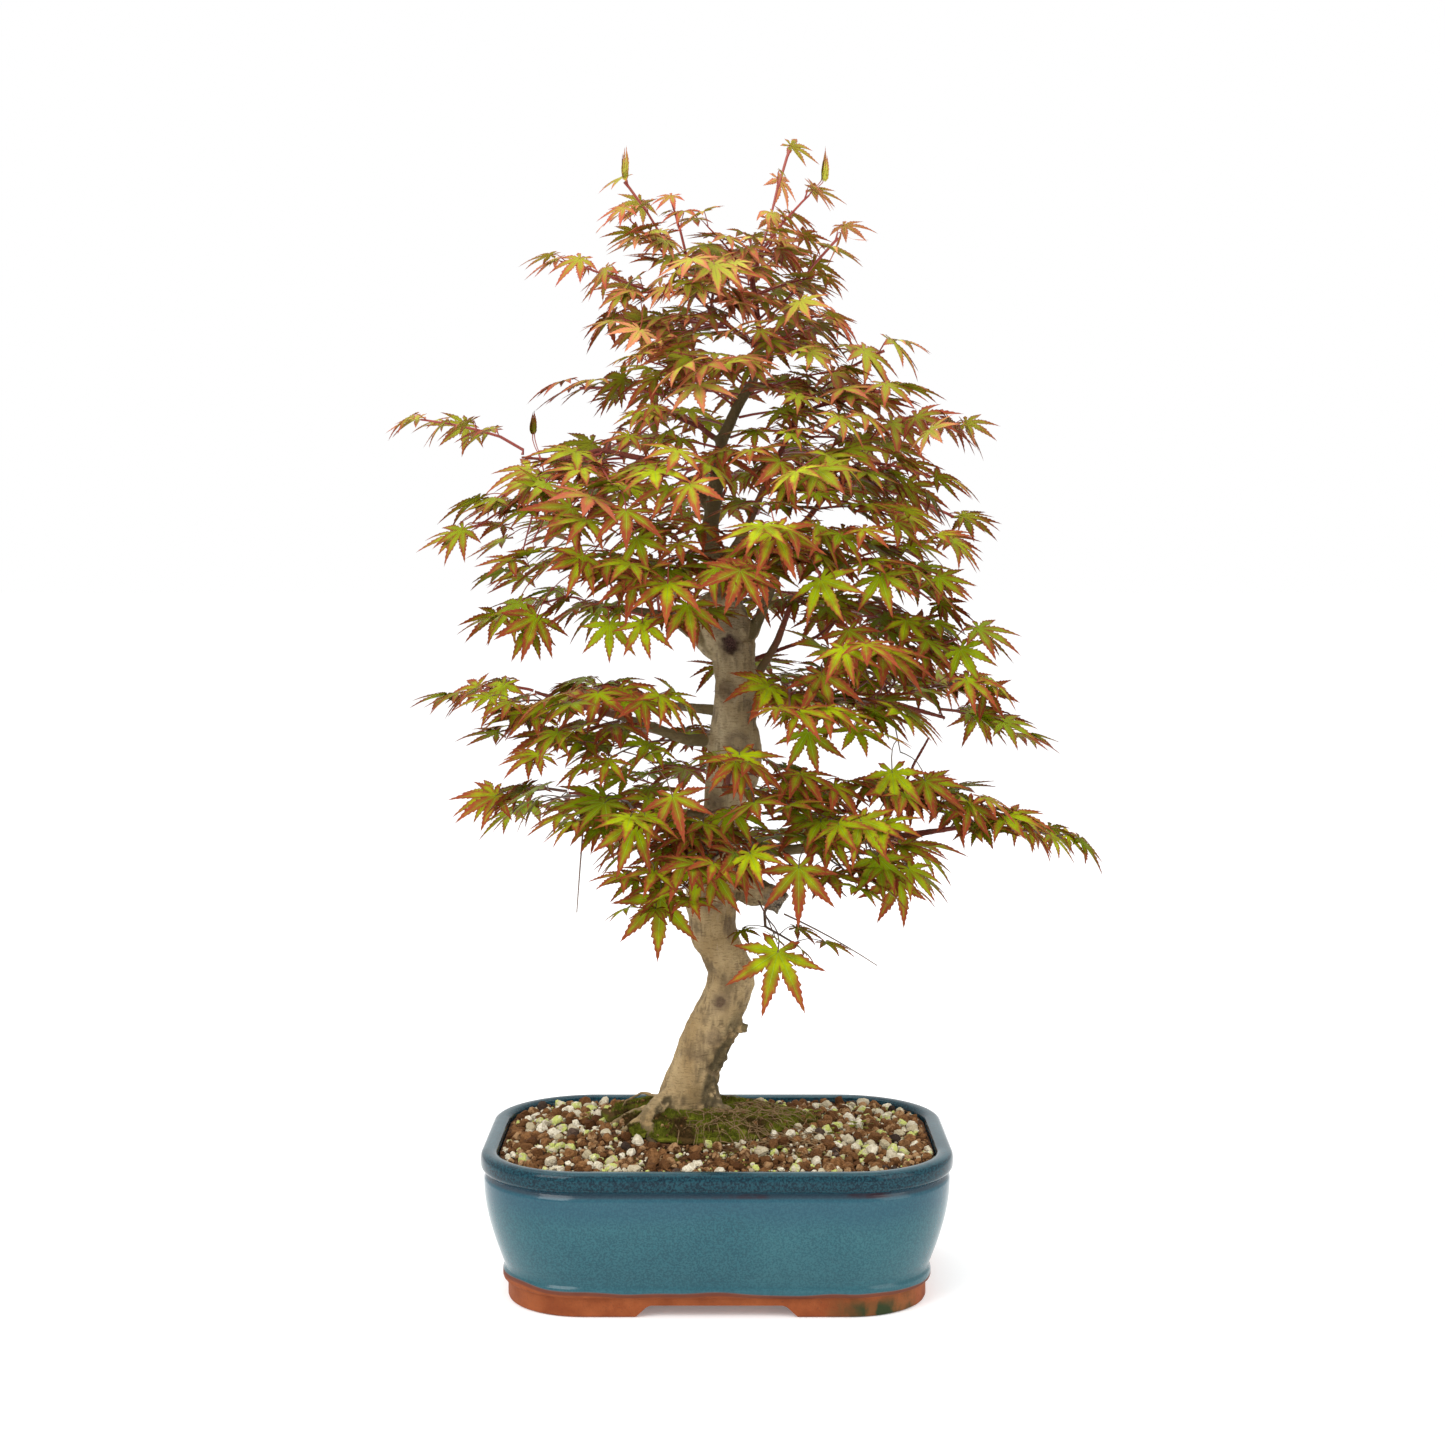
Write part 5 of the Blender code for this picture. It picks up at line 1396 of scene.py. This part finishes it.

# %% [markdown]
# ### Glaze over terracotta
#
# The pot was dipped upside down and its foot wiped clean, so a blue-green glaze ends in a wavy line above
# bare red clay. Glaze pools in the groove under the lip, where it turns purple-brown. The lip is painted a
# darker blue-green as painted shade, and the top of its roll lighter as painted light. Under a loupe the
# glaze is a cloud of lighter and darker specks.
# Water that stands round the foot has left green algae at one corner.


# %% The pot's finish
def pot_finish():
    finish = Finish("glazed_clay", Coat_Roughness=0.08)
    tall = finish.along_axis("Z")
    cloud = finish.grain(16, 5.0, (1, 1, 0.6))
    speck = finish.grain(850, 3.0, rough=0.7)
    fleck = finish.cells(1000)
    wave = finish.grain(9, 2.0, (1, 1, 0.1))
    level = finish.plus(tall, finish.times(wave, 0.016))
    deep = finish.mix(finish.ramp(cloud, 0.3, 0.7), (0.010, 0.058, 0.079), (0.016, 0.078, 0.100))
    light = finish.mix(finish.ramp(cloud, 0.3, 0.7), (0.019, 0.096, 0.120), (0.030, 0.118, 0.138))
    glaze = finish.mix(finish.ramp(speck, 0.42, 0.60), deep, light)
    glaze = finish.mix(finish.ramp(fleck, 0.16, 0.05, 0.0, 0.30), glaze, (0.060, 0.165, 0.180))
    purple = finish.ramp(finish.grain(30, 4.0, (1, 1, 2.0)), 0.52, 0.66)
    high_pool = finish.times(finish.ramp(finish.plus(tall, finish.times(cloud, 0.03)),
                                                     0.068, 0.084), 0.55)
    glaze = finish.mix(high_pool, glaze, (0.010, 0.056, 0.092))
    low_pool = finish.times(finish.ramp(level, 0.0375, 0.0215), 0.45)
    glaze = finish.mix(low_pool, glaze, (0.016, 0.078, 0.100))
    # painted shade: the lip above the groove gets a darker copy of the blue-green glaze
    lip_shade = finish.ramp(tall, 0.0755, 0.0775)
    lip = finish.mix(finish.ramp(speck, 0.42, 0.60), (0.002, 0.014, 0.024), (0.009, 0.052, 0.070))
    glaze = finish.mix(lip_shade, glaze, lip)
    # painted light: the top of the lip's roll is made lighter, in patches
    lit_crest = finish.times(finish.ramp(tall, 0.0862, 0.0878), finish.ramp(cloud, 0.40, 0.62, 0.1, 0.60))
    glaze = finish.mix(lit_crest, glaze, (0.060, 0.125, 0.150))
    groove = finish.times(finish.ramp(tall, 0.0725, 0.0738), finish.ramp(tall, 0.0772, 0.0758))
    groove = finish.times(groove, finish.plus(finish.times(purple, 0.5), 0.42))
    glaze = finish.mix(groove, glaze, (0.034, 0.016, 0.022))
    clay_cloud = finish.grain(60, 5.0)
    clay = finish.mix(finish.ramp(clay_cloud, 0.3, 0.7), (0.200, 0.044, 0.010), (0.300, 0.080, 0.022))
    grit = finish.grain(900, 2.0)
    clay = finish.mix(finish.ramp(grit, 0.60, 0.70, 0.0, 0.4), clay, (0.110, 0.034, 0.014))
    belt = finish.times(finish.ramp(level, 0.0203, 0.0217), finish.ramp(level, 0.0240, 0.0227))
    clay = finish.mix(finish.times(belt, 0.7), clay, (0.080, 0.026, 0.020))
    ragged = finish.times(finish.grain(60, 4.0), 0.045)
    aside = finish.plus(finish.along_axis("X"), ragged)
    stain_x = finish.times(finish.ramp(aside, POT_X + 0.078, POT_X + 0.108),
                           finish.ramp(aside, POT_X + 0.160, POT_X + 0.136))
    stain_y = finish.ramp(finish.along_axis("Y"), POT_Y - 0.060, POT_Y - 0.072)
    stain_z = finish.ramp(finish.plus(tall, finish.times(ragged, 0.25)), 0.0200, 0.0090)
    algae = finish.times(finish.times(stain_x, stain_y), stain_z)
    clay = finish.mix(finish.times(algae, 0.55), clay, (0.100, 0.062, 0.016))
    algae = finish.times(algae, finish.ramp(finish.grain(70, 4.0, (1, 1, 0.5)), 0.42, 0.55))
    clay = finish.mix(algae, clay, (0.022, 0.036, 0.010))
    glazed = finish.ramp(level, 0.0227, 0.0238)
    colour = finish.mix(glazed, clay, glaze)
    finish.use("Base Color", colour)
    finish.use("Specular IOR Level", finish.ramp(tall, 0.0740, 0.0765, 0.22, 0.10))
    rough = finish.ramp(glazed, 0.0, 1.0, 0.72, 0.18)
    finish.use("Roughness", finish.minus(rough, finish.ramp(tall, 0.0740, 0.0765, 0.0, 0.08)))
    finish.use("Coat Weight", finish.times(glazed, 0.16))
    waves = finish.plus(finish.times(cloud, 1.0), finish.times(speck, 0.05))
    rough_clay = finish.times(grit, finish.minus(1.0, glazed))
    finish.bump(finish.plus(waves, finish.times(rough_clay, 0.35)), 0.0012, 0.35)
    return finish.material


dress(pot, (pot_finish(),), smooth=40)
ride_as(pot, "glaze", "pot")

# %% [markdown]
# ## Soil, stones and moss
#
# A bonsai stands in baked clay granules, not in earth: brown ones that hold water, cream pumice that keeps
# the mix open, and a few dark ones. The frame's soil is one smooth mound. It stays, with the look of fine
# dark grit, and the granules lie on it. A granule is a ball of few faces, knocked out of round; copies of
# it are thrown at the mound from above, and one that would land on another is thrown away.

# %% Fine grit between the granules
def grit_finish():
    finish = Finish("fine_grit", Roughness=0.95, Specular_IOR_Level=0.1)
    grains = finish.cells(520, output="Color")
    tones = finish.node("ShaderNodeSeparateColor", {"Color": grains}).outputs["Red"]
    colour = finish.mix(tones, (0.040, 0.017, 0.008), (0.150, 0.070, 0.030))
    finish.use("Base Color", colour)
    finish.bump(finish.cells(520), 0.0016, 1.0)
    return finish.material


soil = NODES["soil"]
SOIL_TREE = search_tree(merged("soil"))
MOSS_TREE = search_tree(merged("moss"))
soil.data.materials.clear()
soil.data.materials.append(grit_finish())


DROP_FROM, DROP = 140, 80


def ground(x, y):
    """The soil's top and the moss's top under a point given in mm, where they are there."""
    above = place(x, y, DROP_FROM)
    return [tree.ray_cast(above, -UP, DROP * MM)[0] for tree in (SOIL_TREE, MOSS_TREE)]


# %% Granule shapes
def lump(name, subdivisions, seed):
    """One granule about 1 across, knocked out of round and flattened on a few sides."""
    bm = bmesh.new()
    bmesh.ops.create_icosphere(bm, subdivisions=subdivisions, radius=0.5)
    rng = random.Random(seed)
    for _ in range(8):
        way = Vector([rng.uniform(-1, 1) for _ in range(3)]).normalized()
        depth = rng.uniform(0.25, 0.42)
        for vert in bm.verts:
            over = vert.co.dot(way) - depth
            if over > 0:
                vert.co -= way * over * 0.85
    offset = Vector((seed * 3.1, 0, 0))
    for vert in bm.verts:
        vert.co *= 1 + 0.24 * noise.noise(vert.co * 3.6 + offset)
    bmesh.ops.scale(bm, vec=(1.0, rng.uniform(0.72, 0.95), rng.uniform(0.62, 0.85)), verts=bm.verts)
    bm.verts.layers.float.new("tone")
    return as_mesh(name, bm)


COARSE = [lump(f"coarse_lump_{i}", 2, i) for i in range(7)]
FINE = [lump(f"fine_lump_{i}", 1, 10 + i) for i in range(4)]


def scatter(name, rows, finish, slot):
    """Copies of small shapes, each turned and sized, as one piece. A row is shape, matrix, tone."""
    bm = bmesh.new()
    for shape, _, _ in rows:
        bm.from_mesh(shape)
    piece = new_piece(name, bm, (finish,), smooth=32)
    points = per_point(piece.data)
    tones = np.zeros(len(points))
    start = 0
    for shape, matrix, tone in rows:
        count = len(shape.vertices)
        turned = np.array(matrix)
        points[start:start + count] = points[start:start + count] @ turned[:3, :3].T + turned[:3, 3]
        tones[start:start + count] = tone
        start += count
    piece.data.vertices.foreach_set("co", points.ravel())
    piece.data.attributes["tone"].data.foreach_set("value", tones)
    piece.data.update()
    ride_as(piece, slot)
    print(name, len(rows), "pieces", len(piece.data.polygons), "faces")


# %% Throw the granules
def inside_rim(x, y, margin):
    """Is a point of the soil at least this far inside the pot's wall?"""
    inset = WALL + 3.0 + margin
    core_x, core_y = POT_WIDTH / 2 - CORNER, POT_DEPTH / 2 - CORNER
    over = math.hypot(max(0.0, abs(x) - core_x), max(0.0, abs(y) - core_y))
    return over < CORNER - inset


class Ground:
    """Where granules lie already, in square cells, so that a new one is only held against its neighbours."""

    CELL = 8.0

    def __init__(self):
        self.cells = {}

    def free(self, x, y, radius, overlap):
        column, row = int(x // self.CELL), int(y // self.CELL)
        for i in range(column - 1, column + 2):
            for j in range(row - 1, row + 2):
                for other_x, other_y, other in self.cells.get((i, j), ()):
                    if math.hypot(x - other_x, y - other_y) < (radius + other) * overlap:
                        return False
        return True

    def add(self, x, y, radius):
        self.cells.setdefault((int(x // self.CELL), int(y // self.CELL)), []).append((x, y, radius))


TIP_OVER = 0.7  # radians
WORN_AWAY = 0.72  # the share of larger granules that worn places lack
CLAY, PUMICE = 0.50, 0.95  # up to which draw a granule is of clay, and then of pumice
lying = Ground()
rng = random.Random("granules")
kinds = {"clay_granules": [], "pumice_granules": [], "dark_granules": []}


def throw(tries, low, high, shapes, overlap, sit):
    """Granules of one range of sizes. Worn places and the moss get fewer and smaller ones."""
    for _ in range(tries):
        x, y = rng.uniform(-132, 132), rng.uniform(-92, 92)
        radius = rng.uniform(low, high)
        if not inside_rim(x, y, radius * 0.8):
            continue
        bare = noise.noise(Vector((x * 0.035, y * 0.05, 3.0)))
        worn = math.hypot((x - 5) / 62, (y + 62) / 26) < 1 + bare
        worn = worn or noise.noise(Vector((x * 0.06, y * 0.08, 9.0))) > 0.22
        if worn and radius > 1.5 and rng.random() < WORN_AWAY:
            continue
        if not lying.free(x, y, radius, overlap):
            continue
        earth, green = ground(x, y)
        if earth is None:
            continue
        if green is not None and green.z > earth.z + 0.0006 and (radius > 1.8 or rng.random() < 0.8):
            continue
        lying.add(x, y, radius)
        pick = rng.random() + bare * 0.45 - (0.18 if worn else 0.0)
        kind = "clay_granules" if pick < CLAY else "pumice_granules" if pick < PUMICE else "dark_granules"
        top = max(earth.z, green.z if green is not None else 0)
        if top > earth.z:
            kind = "clay_granules"
        spot = Vector((earth.x, earth.y, top + radius * sit * MM))
        turn = Matrix.Rotation(rng.uniform(0, ROUND), 4, "Z")
        turn = turn @ Matrix.Rotation(rng.uniform(-TIP_OVER, TIP_OVER), 4, "X")
        turn = turn @ Matrix.Rotation(rng.uniform(-TIP_OVER, TIP_OVER), 4, "Y")
        matrix = Matrix.Translation(spot) @ turn @ Matrix.Scale(radius * 2.15 * MM, 4)
        kinds[kind].append((rng.choice(shapes), matrix, rng.random()))


# Tries, radius from and to in mm, shapes, how near two may lie, how high they sit.
THROWS = ((900, 3.6, 4.9, COARSE, 0.84, 0.36), (4200, 2.2, 3.6, COARSE, 0.80, 0.42),
          (6000, 1.4, 2.2, COARSE, 0.74, 0.55), (6000, 0.8, 1.4, FINE, 0.70, 0.60))
for row in THROWS:
    throw(*row)


# %% The granules' finishes
def granule_finish(name, dark, light, other, share, pits):
    finish = Finish(name, Roughness=0.93, Specular_IOR_Level=0.12)
    tone = finish.attribute("tone")
    cloud = finish.grain(420, 4.0)
    colour = finish.mix(tone, dark, light)
    colour = finish.mix(finish.ramp(cloud, 0.40, 0.62, 0.0, 0.6), colour, dark)
    changed = finish.ramp(finish.maths("FRACT", finish.times(tone, 5.7)), share, share + 0.02)
    coat = finish.times(changed, finish.ramp(finish.grain(260, 3.0), 0.40, 0.56))
    colour = finish.mix(coat, colour, other)
    holes = finish.cells(pits)
    # painted shade: the granule is darkened in its pits, where the bump sinks it
    colour = finish.mix(finish.ramp(holes, 0.22, 0.05, 0.0, 0.5), colour, tuple(c * 0.35 for c in dark))
    finish.use("Base Color", colour)
    finish.bump(finish.plus(cloud, holes), 0.0007, 0.9)
    return finish.material


FINISHES = {
    "clay_granules": granule_finish("baked_clay", (0.080, 0.031, 0.010), (0.295, 0.142, 0.054),
                                    (0.360, 0.210, 0.100), 0.72, 1100),
    "pumice_granules": granule_finish("pumice", (0.420, 0.350, 0.220), (0.800, 0.740, 0.590),
                                      (0.500, 0.540, 0.150), 0.62, 900),
    "dark_granules": granule_finish("lava_grit", (0.035, 0.022, 0.016), (0.110, 0.070, 0.050),
                                    (0.130, 0.090, 0.070), 0.70, 1300),
}
for kind, rows in kinds.items():
    scatter(kind, rows, FINISHES[kind], "soil")

# %% [markdown]
# ### Moss, rootlets and weeds
#
# The moss is a low cushion round the foot of the tree. Its body is the frame's moss given an even skin and
# pushed into small mounds; on that stand some thousands of tiny tufts, each a whorl of narrow blades. Fine
# roots of the tree have grown through it and lie on the granules like thread, mostly to the right.


# %% The cushion
def moss_finish():
    finish = Finish("moss_green", Roughness=0.95, Specular_IOR_Level=0.08)
    patch = finish.grain(55, 4.0)
    fine = finish.grain(1500, 2.0)
    tone = finish.attribute("tone")
    colour = finish.mix(finish.ramp(patch, 0.32, 0.62), (0.030, 0.032, 0.005), (0.150, 0.160, 0.014))
    colour = finish.mix(finish.times(tone, 0.7), colour, (0.250, 0.280, 0.024))
    dry = finish.ramp(finish.grain(75, 3.0, warp=0.4), 0.46, 0.60)
    colour = finish.mix(dry, colour, (0.085, 0.048, 0.016))
    colour = finish.mix(finish.ramp(fine, 0.5, 0.7, 0.0, 0.5), colour, (0.018, 0.024, 0.004))
    finish.use("Base Color", colour)
    finish.bump(fine, 0.0010, 1.0)
    return finish.material


MOSS_FINISH = moss_finish()
cushion = reskin("moss_cushion", merged("moss"), 1.3 * MM, 3)
moss_points = per_point(cushion.data)
moss_normals = per_point(cushion.data, "normal")
swell = np.array([noise.noise(Vector(co) * 150) * 1.9 + noise.noise(Vector(co) * 420) * 1.1
                  for co in moss_points])
upper_side = np.clip(moss_normals[:, 2], 0, 1)
moss_points += moss_normals * (swell * upper_side * MM)[:, None]
cushion.data.vertices.foreach_set("co", moss_points.ravel())
# painted light: the tops of the mounds get a lighter green than the dips between them
store(cushion.data, "tone", np.clip(swell, 0, 1) * 0.6)
dress(cushion, (MOSS_FINISH,), smooth=0)
ride_as(cushion, "moss", "moss")


# %% Tufts
def tuft_shape(blades, seed):
    """A whorl of narrow blades standing on one point, about 1 tall."""
    bm = bmesh.new()
    rng = random.Random(seed)
    for blade in range(blades):
        lean = rng.uniform(0.25, 1.0)
        turn = Matrix.Rotation(blade * ROUND / blades + rng.uniform(-0.3, 0.3), 4, "Z")
        tilt = Matrix.Rotation(lean, 4, "Y")
        tall = rng.uniform(0.7, 1.0)
        bmesh.ops.create_cone(bm, cap_ends=True, segments=3, radius1=0.13, radius2=0.0, depth=tall,
                              matrix=turn @ tilt @ Matrix.Translation((0, 0, tall / 2)))
    bm.verts.layers.float.new("tone")
    return as_mesh(f"tuft_{seed}", bm)


TUFTS = [tuft_shape(6, seed) for seed in range(3)]
TUFT_COUNT = 5200
rng = random.Random("tufts")
rows = []
while len(rows) < TUFT_COUNT:
    x, y = rng.uniform(-62, 82), rng.uniform(-72, 60)
    earth, green = ground(x, y)
    edge = noise.noise(Vector((x * 0.09, y * 0.09, 7.0)))
    if green is None or earth is None or green.z < earth.z + 0.0004 * (1 + edge):
        if rng.random() > 0.02 or earth is None:
            continue
        green = earth
    size = rng.uniform(1.4, 4.0) * MM
    turn = Matrix.Rotation(rng.uniform(0, ROUND), 4, "Z") @ Matrix.Rotation(rng.uniform(-0.3, 0.3), 4, "X")
    matrix = Matrix.Translation(green - UP * 0.0004) @ turn @ Matrix.Scale(size, 4)
    rows.append((rng.choice(TUFTS), matrix, rng.random() * (0.5 + 0.5 * edge + 0.25)))
scatter("moss_tufts", rows, MOSS_FINISH, "moss")


# %% Fine roots on the surface
def root_finish():
    finish = Finish("fine_roots", Roughness=0.85, Specular_IOR_Level=0.15)
    mottle = finish.grain(300, 3.0)
    finish.use("Base Color", finish.mix(mottle, (0.110, 0.060, 0.026), (0.360, 0.240, 0.120)))
    finish.bump(mottle, 0.0003, 0.6)
    return finish.material


ROOT_COUNT = 110
bm = bmesh.new()
rng = random.Random("roots")
for _ in range(ROOT_COUNT):
    angle = rng.gauss(-0.35, 0.8)
    x, y = rng.uniform(-25, 45), rng.uniform(-45, 10)
    path = []
    for step in range(rng.randint(7, 13)):
        earth, green = ground(x, y)
        if earth is None or not inside_rim(x, y, 2):
            break
        top = max(earth.z, green.z if green is not None else 0)
        path.append(Vector((POT_X + x * MM, POT_Y + y * MM, top + rng.uniform(0.5, 3.2) * MM)))
        angle += rng.uniform(-0.75, 0.75)
        x += math.cos(angle) * 4.6
        y += math.sin(angle) * 4.0
    if len(path) > 3:
        width = rng.uniform(0.16, 0.34) * MM
        tube(bm, path, [width * (1 - 0.5 * i / len(path)) for i in range(len(path))], 5)
bmesh.ops.recalc_face_normals(bm, faces=bm.faces)
rootlets = new_piece("surface_rootlets", bm, (root_finish(),), smooth=60)
ride_as(rootlets, "bark")


# %% Small weeds
def weed(bm, x, y, count, size, rng):
    earth, green = ground(x, y)
    top = max(earth.z, green.z if green is not None else 0)
    foot = Vector((earth.x, earth.y, top))
    for stem in range(count):
        turn = stem * ROUND / count + rng.uniform(-0.4, 0.4)
        out = Vector((math.cos(turn), math.sin(turn), 0))
        tip = foot + out * size * rng.uniform(0.5, 1.0) * MM + UP * size * rng.uniform(0.4, 0.9) * MM
        tube(bm, arch(foot, tip, 0.0012, 4), [0.25 * MM] * 4, 4)
        blade = Matrix.Translation(tip) @ out.to_track_quat("X", "Z").to_matrix().to_4x4()
        flat = Matrix.Diagonal((0.42 * size * MM, 0.24 * size * MM, 0.05 * size * MM, 1))
        bmesh.ops.create_icosphere(bm, subdivisions=1, radius=1.0, matrix=blade @ flat)


bm = bmesh.new()
rng = random.Random("weeds")
for x, y, count, size in ((87, 4, 6, 7), (-20, -34, 5, 5), (8, -57, 5, 4.5), (70, -12, 5, 5), (-78, 18, 5, 5),
                          (60, 30, 5, 6), (100, -20, 4, 4), (35, -48, 5, 4.5), (-50, -20, 4, 4.5)):
    weed(bm, x, y, count, size, rng)
bmesh.ops.recalc_face_normals(bm, faces=bm.faces)
bm.verts.layers.float.new("tone")
weeds = new_piece("small_weeds", bm, (MOSS_FINISH,), smooth=50)
tones = [0.8 + 0.2 * rng.random() for _ in weeds.data.vertices]
weeds.data.attributes["tone"].data.foreach_set("value", tones)
ride_as(weeds, "moss")

# %% [markdown]
# ## Drain screens and their clips
#
# Under the soil each drain hole has a square of plastic screen, held by a bent wire. Both are the frame's
# own solids, whose shape is right; they only need their finishes.


# %% Plastic and wire
def screen_finish():
    finish = Finish("screen_plastic", Specular_IOR_Level=0.4)
    haze = finish.grain(240, 3.0)
    finish.use("Base Color", finish.mix(haze, (0.010, 0.012, 0.010), (0.028, 0.032, 0.028)))
    finish.use("Roughness", finish.ramp(haze, 0.3, 0.7, 0.38, 0.60))
    finish.bump(finish.grain(1600, 2.0), 0.0002, 0.5)
    return finish.material


def wire_finish():
    finish = Finish("training_wire", Metallic=1.0)
    drawn = finish.grain(900, 3.0, (1, 1, 0.1))
    finish.use("Base Color", finish.mix(drawn, (0.420, 0.400, 0.370), (0.640, 0.620, 0.580)))
    finish.use("Roughness", finish.ramp(drawn, 0.3, 0.7, 0.30, 0.48))
    finish.bump(drawn, 0.0001, 0.6)
    return finish.material


for word in ("left", "right"):
    for node, finish in ((f"drain_mesh_{word}", screen_finish()), (f"mesh_clip_{word}", wire_finish())):
        NODES[node].data.materials.clear()
        NODES[node].data.materials.append(finish)

# %% Sizes, and done
size = {"cad": CAD_BOX, "visual": [list(corner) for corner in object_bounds()]}
print("sizes", [[round(v, 4) for v in corner] for corner in size["cad"] + size["visual"]])
shown = [o for o in bpy.data.objects if o.type == "MESH" and not o.hide_render]
print("faces in all", sum(len(o.data.polygons) for o in shown))
